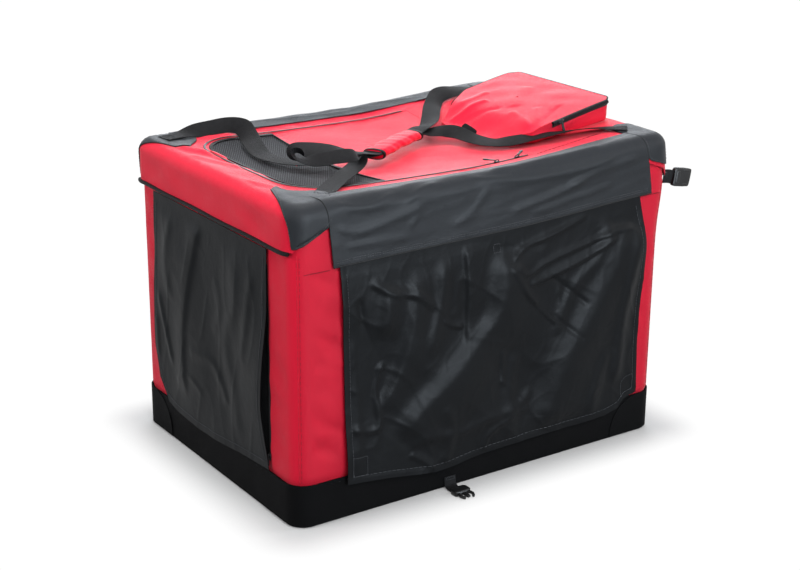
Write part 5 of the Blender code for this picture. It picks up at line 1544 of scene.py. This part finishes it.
STRAP_ROUTES = {
    "strap_back_left": (
        ((-0.376, 0.236, 0.5800), (0, -1, 0)), ((-0.338, 0.242, 0.5812), (0, -1, -0.05)),
        ((-0.302, 0.246, 0.5835), (0, -0.85, -0.5)), ((-0.268, 0.246, 0.5855), (-0.05, -0.80, -0.55)),
        ((-0.236, 0.240, 0.5875), (-0.25, -0.70, -0.62)), ((-0.222, 0.214, 0.5870), (-0.62, -0.45, -0.58)),
        ((-0.232, 0.172, 0.5810), (-0.85, -0.10, -0.45)), ((-0.249, 0.124, 0.5780), (-0.97, 0.10, -0.20)),
        ((-0.262, 0.070, 0.5715), (-0.98, 0.15, -0.05)), ((-0.262, 0.020, 0.5715), (-0.97, -0.20, 0)),
        ((-0.238, -0.016, 0.5700), (-0.70, -0.70, 0)), ((-0.195, -0.036, 0.5705), (-0.25, -0.96, 0)),
        ((-0.140, -0.048, 0.5730), (0.25, -0.96, 0)), ((-0.100, -0.0500, 0.5745), (0.498, -0.867, 0)),
        ((-0.0895, -0.0440, 0.5745), (0.498, -0.867, 0))),
    "strap_front_left": (
        ((-0.3205, -0.238, 0.5778), (0.62, -0.78, 0)), ((-0.286, -0.207, 0.5782), (0.62, -0.78, 0)),
        ((-0.246, -0.173, 0.5790), (0.60, -0.80, 0)), ((-0.205, -0.140, 0.5785), (0.55, -0.83, 0)),
        ((-0.178, -0.120, 0.5815), (0.35, -0.93, 0)), ((-0.166, -0.112, 0.5880), (0.0, -1, 0)),
        ((-0.176, -0.107, 0.5950), (-0.40, -0.80, -0.40)), ((-0.205, -0.098, 0.5945), (-0.60, -0.66, -0.45)),
        ((-0.238, -0.083, 0.5900), (-0.62, -0.66, -0.42)), ((-0.259, -0.067, 0.5905), (-0.62, -0.78, 0)),
        ((-0.266, -0.056, 0.5965), (-0.50, -0.86, 0)), ((-0.256, -0.048, 0.6025), (-0.35, -0.83, -0.42)),
        ((-0.225, -0.043, 0.6000), (-0.20, -0.88, -0.45)), ((-0.180, -0.043, 0.5915), (-0.05, -0.90, -0.40)),
        ((-0.135, -0.050, 0.5825), (0.20, -0.98, 0)), ((-0.104, -0.0520, 0.5772), (0.45, -0.88, 0)),
        ((-0.0895, -0.0440, 0.5768), (0.498, -0.867, 0))),
    "strap_back_right": (
        ((0.0490, 0.0360, 0.5768), (0.498, -0.867, 0)), ((0.064, 0.044, 0.5775), (0.50, -0.86, 0)),
        ((0.086, 0.052, 0.5800), (0.60, -0.78, 0.10)), ((0.112, 0.072, 0.5770), (0.82, -0.50, 0.20)),
        ((0.140, 0.104, 0.5790), (0.88, -0.38, 0.0)), ((0.168, 0.140, 0.5840), (0.90, -0.34, -0.15)),
        ((0.196, 0.172, 0.5850), (0.80, -0.35, -0.45)), ((0.222, 0.198, 0.5880), (0.45, -0.60, -0.60)),
        ((0.254, 0.214, 0.5875), (0.10, -0.80, -0.50)), ((0.294, 0.224, 0.5830), (-0.10, -0.95, -0.25)),
        ((0.334, 0.226, 0.5800), (0.0, -1, 0)), ((0.372, 0.230, 0.5790), (0.05, -1, 0))),
    "strap_front_right": (
        ((0.0490, 0.0360, 0.5745), (0.498, -0.867, 0)), ((0.062, 0.040, 0.5740), (0.48, -0.87, 0)),
        ((0.084, 0.033, 0.5720), (0.10, -0.98, -0.1)), ((0.112, 0.018, 0.5740), (-0.25, -0.90, -0.35)),
        ((0.124, -0.010, 0.5735), (-0.55, -0.75, -0.35)), ((0.131, -0.050, 0.5690), (-0.80, -0.50, -0.20)),
        ((0.141, -0.092, 0.5690), (-0.80, -0.55, -0.15)), ((0.166, -0.120, 0.5730), (-0.60, -0.75, -0.30)),
        ((0.206, -0.142, 0.5790), (-0.40, -0.80, -0.10)), ((0.248, -0.158, 0.5810), (-0.40, -0.85, 0.15)),
        ((0.284, -0.168, 0.5815), (-0.45, -0.85, 0.28)), ((0.318, -0.182, 0.5810), (-0.50, -0.82, 0.22)),
        ((0.346, -0.198, 0.5800), (-0.58, -0.80, 0.08)), ((0.368, -0.216, 0.5800), (-0.60, -0.80, 0))),
}


def build_straps():
    """Four loose lengths of webbing: each bends between its patch on the roof and the grip."""
    for name, route in STRAP_ROUTES.items():
        points = [(Vector(p), Vector(n)) for p, n in route]
        width = 0.034 if name == "strap_front_right" else 0.036
        strap = web(name + "_webbing", points, width)
        strap.data.materials.append(WEB[1])
        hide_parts(name)
        start, end = points[0][0], points[-1][0]
        if name.endswith("right"):
            start, end = end, start
        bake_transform(strap)
    for corner, x, y, heading in (("fl", -0.318, -0.236, (0.75, 0.62)), ("fr", 0.360, -0.209, (-0.8, 0.6)),
                                  ("bl", -0.366, 0.237, (1, 0)), ("br", 0.364, 0.224, (-1, 0))):
        along = Vector((*heading, 0)).normalized()
        side = Vector((along.y, -along.x, 0))
        box = [Vector((x, y, 0.5812)) + along * 0.022 * a + side * 0.036 * b
               for a, b in ((-0.5, -0.4), (0.5, -0.4), (0.5, 0.4), (-0.5, 0.4), (-0.5, -0.4))]
        stitches(f"strap_box_{corner}", through(box, Vector((0, 0, 1)), 20), "roof", GREY_THREAD, lift=0.0006)


# Closing straps and buckles

def build_front_strap():
    """Webbing from the band's front down to the floor, and the prong half of the buckle on its end."""
    x, y = -0.086, -0.2913
    path = [(Vector((x, y - out, z)), Vector((1, 0, 0))) for out, z in (
        (0, 0.0225), (0.0002, 0.0140), (0.0022, 0.0060),
        (0.0080, 0.0026), (0.0150, 0.0015), (0.0225, 0.0016))]
    strap = web("front_strap_webbing", path, 0.025, 0.0020)
    dress(strap, "closing_strap_front", WEB)
    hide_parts("front_strap")
    root = [Vector((x + a, y - 0.0012, z))
            for a, z in ((-0.009, 0.021), (0.009, 0.021), (0.009, 0.016), (-0.009, 0.016), (-0.009, 0.021))]
    stitches("front_strap_stitch", through(root, Vector((0, -1, 0)), 16), "closing_strap_front", GREY_THREAD,
             pitch=0.0032, length=0.0022, lift=0.0003)
    start = Vector((x, -0.3136, 0.0058))
    along, across, up = Vector((0, -1, 0)), Vector((1, 0, 0)), Vector((0, 0, 1))
    parts = [cushion(name, start + Vector((0, -reach, rise)), *axes, up, size, "closing_strap_front",
                     PLASTIC, soft)
             for name, reach, rise, axes, size, soft in (
                 ("male_body", 0.0110, 0, (along, across), (0.0210, 0.0340, 0.0110), 0.22),
                 ("male_bar", 0.0030, 0.0026, (across, along), (0.0310, 0.0050, 0.0060), 0.3),
                 ("male_tongue", 0.0290, 0, (along, across), (0.0200, 0.0070, 0.0050), 0.3))]
    for side in (-1, 1):
        prong = [start + Vector((side * w, -r, 0)) for w, r in (
            (0.0105, 0.018), (0.0122, 0.024), (0.0128, 0.030), (0.0112, 0.035), (0.0085, 0.0385))]
        arm = rod(f"male_prong_{'left' if side < 0 else 'right'}", smooth_path(prong, 6), 0.0027, flat=1.2)
        parts.append(dress(arm, "closing_strap_front", PLASTIC))
    for part in parts:
        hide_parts("male_buckle")


def build_side_strap():
    """Webbing on edge at the right end, and the socket half of the buckle."""
    root = Vector((0.4148, -0.262, 0.492))
    path = [(root, Vector((0, 0, 1))), (root + Vector((0.0080, -0.0004, -0.0006)), Vector((0.05, 0, 1))),
            (root + Vector((0.0160, 0.0002, -0.0022)), Vector((0.14, 0, 1))),
            (root + Vector((0.0230, 0, -0.0040)), Vector((0.17, 0, 1)))]
    strap = web("side_strap_webbing", path, 0.025, 0.0020)
    dress(strap, "closing_strap_side", WEB)
    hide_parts("side_strap")
    along = Vector((1, 0, -0.17)).normalized()
    out = Vector((0, -1, 0))
    across = along.cross(out)
    start = root + Vector((0.0249, 0, -0.0037))
    parts = []
    half, thick = 0.0170, 0.0055
    stations = ((0.0, 0.84, 0.80), (0.003, 0.97, 0.97), (0.006, 1, 1), (0.028, 1, 1), (0.034, 0.97, 1),
                (0.041, 0.95, 0.96), (0.042, 0.92, 0.90), (0.042, 0.80, 0.58), (0.034, 0.80, 0.58),
                (0.014, 0.80, 0.55))
    turns = [squared(math.tau * k / 28, 0.3) for k in range(28)]
    rings = []
    for reach, wide, deep in stations:
        rings.append([start + along * reach + across * half * wide * c + out * thick * deep * n
                      for c, n in turns])
    body = sweep("female_body", [start + along * reach for reach, _, _ in stations], rings)
    parts.append(dress(body, "closing_strap_side", PLASTIC))
    for side in (-1, 1):
        parts.append(cushion(f"female_rib_{'low' if side < 0 else 'high'}",
                             start + along * 0.030 + across * side * 0.0125, along, across, out,
                             (0.0220, 0.0045, 0.0118), "closing_strap_side", PLASTIC, soft=0.3))
    parts.append(cushion("female_pad", start + along * 0.0090 + out * 0.0012, along, across, out,
                         (0.0120, 0.0250, 0.0110), "closing_strap_side", PLASTIC, soft=0.3))
    for part in parts:
        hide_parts("female_buckle")


# Zips

def build_slider(name, body, place, along, out, pull, spread=0.022):
    """A zip slider: a humped body, a bridge over it and a long pull through the bridge."""
    place = Vector(place)
    along, out, pull = [Vector(axis).normalized() for axis in (along, out, pull)]
    across = along.cross(out)
    parts = [cushion(name + "_body", place + out * 0.0013, along, across, out, (0.0120, 0.0070, 0.0026),
                     body, METAL, soft=0.4)]
    bridge = [place + along * a + out * h for a, h in (
        (-0.0045, 0.0022), (-0.0035, 0.0042), (0, 0.0050), (0.0035, 0.0042), (0.0045, 0.0022))]
    parts.append(dress(rod(name + "_bridge", smooth_path(bridge, 5), 0.0009, up=across), body, METAL))
    start = place + out * 0.0040
    side = pull.cross(out)
    side = side.normalized() if side.length > 1e-6 else across
    rise = side.cross(pull).normalized()
    for word, middle, size, soft in (("_pull", 0.5, (spread, 0.0050, 0.0018), 0.3),
                                     ("_grip", 0.72, (spread * 0.50, 0.0058, 0.0028), 0.35)):
        parts.append(cushion(name + word, start + pull * (spread * middle + 0.001), pull, side, rise, size,
                             body, METAL, soft=soft))
    for part in parts:
        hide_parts(name)


def build_sliders():
    def roof_at(x, y):
        return (x, y, float(roof_top(x, y)) + 0.0012)

    rim = (0.262, -0.1475, float(rim_height(0.262, -0.140)))
    for name, body, place, along, out, pull, spread in (
            ("hatch_slider_left", "zip_hatch_left", roof_at(0.072, -0.200),
             (1, 0, 0), (0, 0, 1), (-0.80, 0.55, 0.10), 0.026),
            ("hatch_slider_right", "zip_hatch_right", roof_at(0.118, -0.200),
             (1, 0, 0), (0, 0, 1), (0.82, 0.50, 0.10), 0.026),
            ("pouch_slider", "zip_pouch", rim,
             (0.987, 0, 0.158), (0.0, -0.95, 0.3), (0.05, -0.30, -0.95), 0.024),
            ("front_door_slider", "zip_door_front", (0.3045, -0.2842, 0.109),
             (0, 0, 1), (0, 1, 0), (0, 0.10, -1), 0.018),
            ("left_door_slider", "zip_door_left", (-0.4073, -0.200, 0.109),
             (0, 0, 1), (-1, 0, 0), (-0.10, 0, -1), 0.018)):
        build_slider(name, body, place, along, out, pull, spread)


def build_zips():
    """The hatch's zip on three sides of it, and the roof's seam in front of the pouch."""
    line = [(Vector((x, y, float(roof_top(x, y)))), Vector((0, 0, 1))) for x, y in hatch_plan(-0.0004)]
    start = next(k for k, (p, _) in enumerate(line) if p.x > HATCH[1] - 0.006 and p.y > 0.18)
    kept = [item for item in line[start:] + line[:start] if item[0].x < HATCH[1] - 0.004]
    strip("hatch_zip", kept, 0.0042, 0.0010, "roof", TEETH, 0.0012)
    seam = []
    for t in np.linspace(0, 1, 60):
        x = 0.160 + 0.20 * t
        seam.append((Vector((x, -0.206 + 0.012 * t, float(roof_top(x, -0.206)))), Vector((0, 0, 1))))
    stitches("roof_seam_front", seam, "roof", DARK_THREAD, lift=0.0004)


# Camera, lights and floor

AZIMUTH, DOWN, ROLL = 34.387, 19.135, -0.509
CAMERA_PLACE = (-1.6699, -2.4392, 1.3145)
FOCAL_PIXELS = 1617.2
PHOTO_WIDTH = 800
SENSOR = 36.0


def set_camera():
    """The camera that was fitted to the photograph."""
    azimuth, down, roll = math.radians(AZIMUTH), math.radians(DOWN), math.radians(ROLL)
    level = math.cos(down)
    forward = Vector((math.sin(azimuth) * level, math.cos(azimuth) * level, -math.sin(down)))
    right = Vector((math.cos(azimuth), -math.sin(azimuth), 0))
    below = forward.cross(right)
    turned = math.cos(roll) * right + math.sin(roll) * below
    below = -math.sin(roll) * right + math.cos(roll) * below
    camera = link(bpy.data.objects.new("camera", bpy.data.cameras.new("camera")))
    axes = Matrix((turned, -below, -forward)).transposed().to_4x4()
    camera.matrix_world = Matrix.Translation(CAMERA_PLACE) @ axes
    camera.data.sensor_width = SENSOR
    camera.data.lens = SENSOR * FOCAL_PIXELS / PHOTO_WIDTH
    bpy.context.scene.camera = camera


def add_area(name, place, target, size, power, colour=(1, 1, 1), gloss_only=False):
    """A soft rectangular lamp; one for gloss alone brings out satin folds and lights nothing else."""
    light = bpy.data.lights.new(name, "AREA")
    light.shape = "RECTANGLE"
    light.size, light.size_y = size
    light.energy = power
    light.color = colour
    item = link(bpy.data.objects.new(name, light))
    item.visible_camera = False
    item.visible_diffuse = not gloss_only
    item.location = place
    item.rotation_euler = (Vector(target) - Vector(place)).to_track_quat("-Z", "Y").to_euler()


def shows_background(n):
    """1 for rays from the camera, from gloss and through clear things, which see the white background."""
    ray = n.add("ShaderNodeLightPath").outputs
    found = ray["Is Camera Ray"]
    for kind in ("Is Glossy Ray", "Is Transmission Ray"):
        found = n.math("MAXIMUM", found, ray[kind])
    return found


def set_world():
    """A white surround where it is seen, and a faint cool light elsewhere."""
    world = bpy.context.scene.world or bpy.data.worlds.new("world")
    bpy.context.scene.world = world
    n = Nodes(world)
    n.tree.nodes.clear()
    lit = n.add("ShaderNodeBackground", {"Color": (0.93, 0.96, 1.0, 1), "Strength": 0.26}).outputs[0]
    seen = n.add("ShaderNodeBackground", {"Color": (1, 1, 1, 1)}).outputs[0]
    mix = n.add("ShaderNodeMixShader", {0: shows_background(n), 1: lit, 2: seen})
    n.add("ShaderNodeOutputWorld", {"Surface": mix.outputs[0]})


def set_floor():
    """A pale floor that fades to white with the distance from the crate's footprint."""
    fade_width = 0.11
    n = Nodes(bpy.data.materials.new("floor"))
    n.tree.nodes.clear()
    beyond = n.add("ShaderNodeTexCoord").outputs["Object"]
    for step, more in (("ABSOLUTE", {}), ("SUBTRACT", {1: (HALF_L, HALF_W, 0)}), ("MAXIMUM", {1: (0, 0, 0)})):
        beyond = n.add("ShaderNodeVectorMath", {0: beyond, **more}, operation=step).outputs["Vector"]
    away = n.add("ShaderNodeVectorMath", {0: beyond}, operation="LENGTH").outputs["Value"]
    fade = n.add("ShaderNodeMapRange", {"Value": away, "From Min": 0.0, "From Max": fade_width},
                 interpolation_type="SMOOTHSTEP").outputs["Result"]
    pale = n.add("ShaderNodeBsdfDiffuse", {"Color": (0.54, 0.54, 0.54, 1)}).outputs[0]
    glow = n.add("ShaderNodeEmission", {"Strength": 0.10}).outputs[0]
    near = n.add("ShaderNodeAddShader", {0: pale, 1: glow}).outputs[0]
    white = n.add("ShaderNodeEmission", {"Strength": 1.02}).outputs[0]
    seen = n.add("ShaderNodeMixShader", {0: fade, 1: near, 2: white}).outputs[0]
    matte = n.add("ShaderNodeBsdfDiffuse", {"Color": (0.10, 0.10, 0.10, 1)}).outputs[0]
    mix = n.add("ShaderNodeMixShader", {0: shows_background(n), 1: matte, 2: seen})
    n.add("ShaderNodeOutputMaterial", {"Surface": mix.outputs[0]})
    reach = 40
    mesh = bpy.data.meshes.new("floor")
    mesh.from_pydata([(-reach, -reach, 0), (reach, -reach, 0), (reach, reach, 0), (-reach, reach, 0)],
                     [], [(0, 1, 2, 3)])
    mesh.materials.append(n.owner)
    link(bpy.data.objects.new("floor", mesh))


def set_lamps():
    """Plain soft lamps; the two for gloss alone bring out the satin of the dark flaps."""
    cool = (0.80, 0.90, 1.0)
    front, front_target, front_size = (0.3, -3.0, 0.75), (0.05, -0.3, 0.25), (1.4, 0.9)
    add_area("overhead", (0.1, 0.3, 2.4), (0, 0, 0.5), (1.8, 1.6), 40)
    add_area("left_side", (-2.9, 0.3, 1.7), (-0.3, 0, 0.3), (1.2, 1.0), 38)
    add_area("front_high", (-0.7, -2.5, 2.4), (0, -0.2, 0.3), (1.9, 1.3), 66)
    add_area("front_low", front, front_target, front_size, 12, cool)
    add_area("front_gloss", front, front_target, front_size, 190, cool, gloss_only=True)
    add_area("left_gloss", (-2.2, 2.2, 0.8), (-0.4, 0.0, 0.25), (1.2, 0.8), 10, cool, gloss_only=True)
    add_area("right_side", (2.6, -1.6, 1.6), (0.2, -0.1, 0.3), (1.0, 1.0), 22)
    add_area("sheen", (2.1, 3.0, 1.7), (0, 0, 0.5), (2.6, 1.5), 66, (0.88, 0.93, 1.0))


def set_stage():
    """Surround, floor and lamps, with colours shown as they are."""
    set_world()
    set_floor()
    set_lamps()
    bpy.context.scene.view_settings.view_transform = "Standard"


# Putting it together

def main():
    """Every piece in turn; the patches lie on the finished roof and walls."""
    set_camera()
    set_stage()
    paint_frame()
    build_base()
    build_pad()
    walls = build_walls()
    roof = build_roof()
    build_hatch()
    front_valance = build_valance("front_valance_cloth", "front_valance", -1, VALANCE_FOLDS)
    build_valance("back_valance_cloth", "back_valance", 1, ())
    build_valance_trim(front_valance)
    for side, word in ((-1, "left"), (1, "right")):
        build_piping(word + "_welt", word + "_piping", side)
    build_front_flap()
    build_left_flap()
    build_plain_flap("back_flap_cloth", "back_flap", "flap_back", False)
    build_plain_flap("right_flap_cloth", "right_flap", "flap_right", True)
    tree = tree_of(roof, *walls)
    build_patch("patch_front_left", *PATCH_LEFT, tree)
    build_patch("patch_back_left", *mirrored(PATCH_LEFT), tree)
    build_patch("patch_front_right", *PATCH_RIGHT, tree)
    build_patch("patch_back_right", *mirrored(PATCH_RIGHT), tree)
    build_pouch()
    build_pouch_lid()
    build_pouch_zip()
    build_seams()
    build_band_trim()
    build_door_zips()
    build_grip()
    build_straps()
    build_front_strap()
    build_side_strap()
    build_sliders()
    build_zips()
    settle()


main()
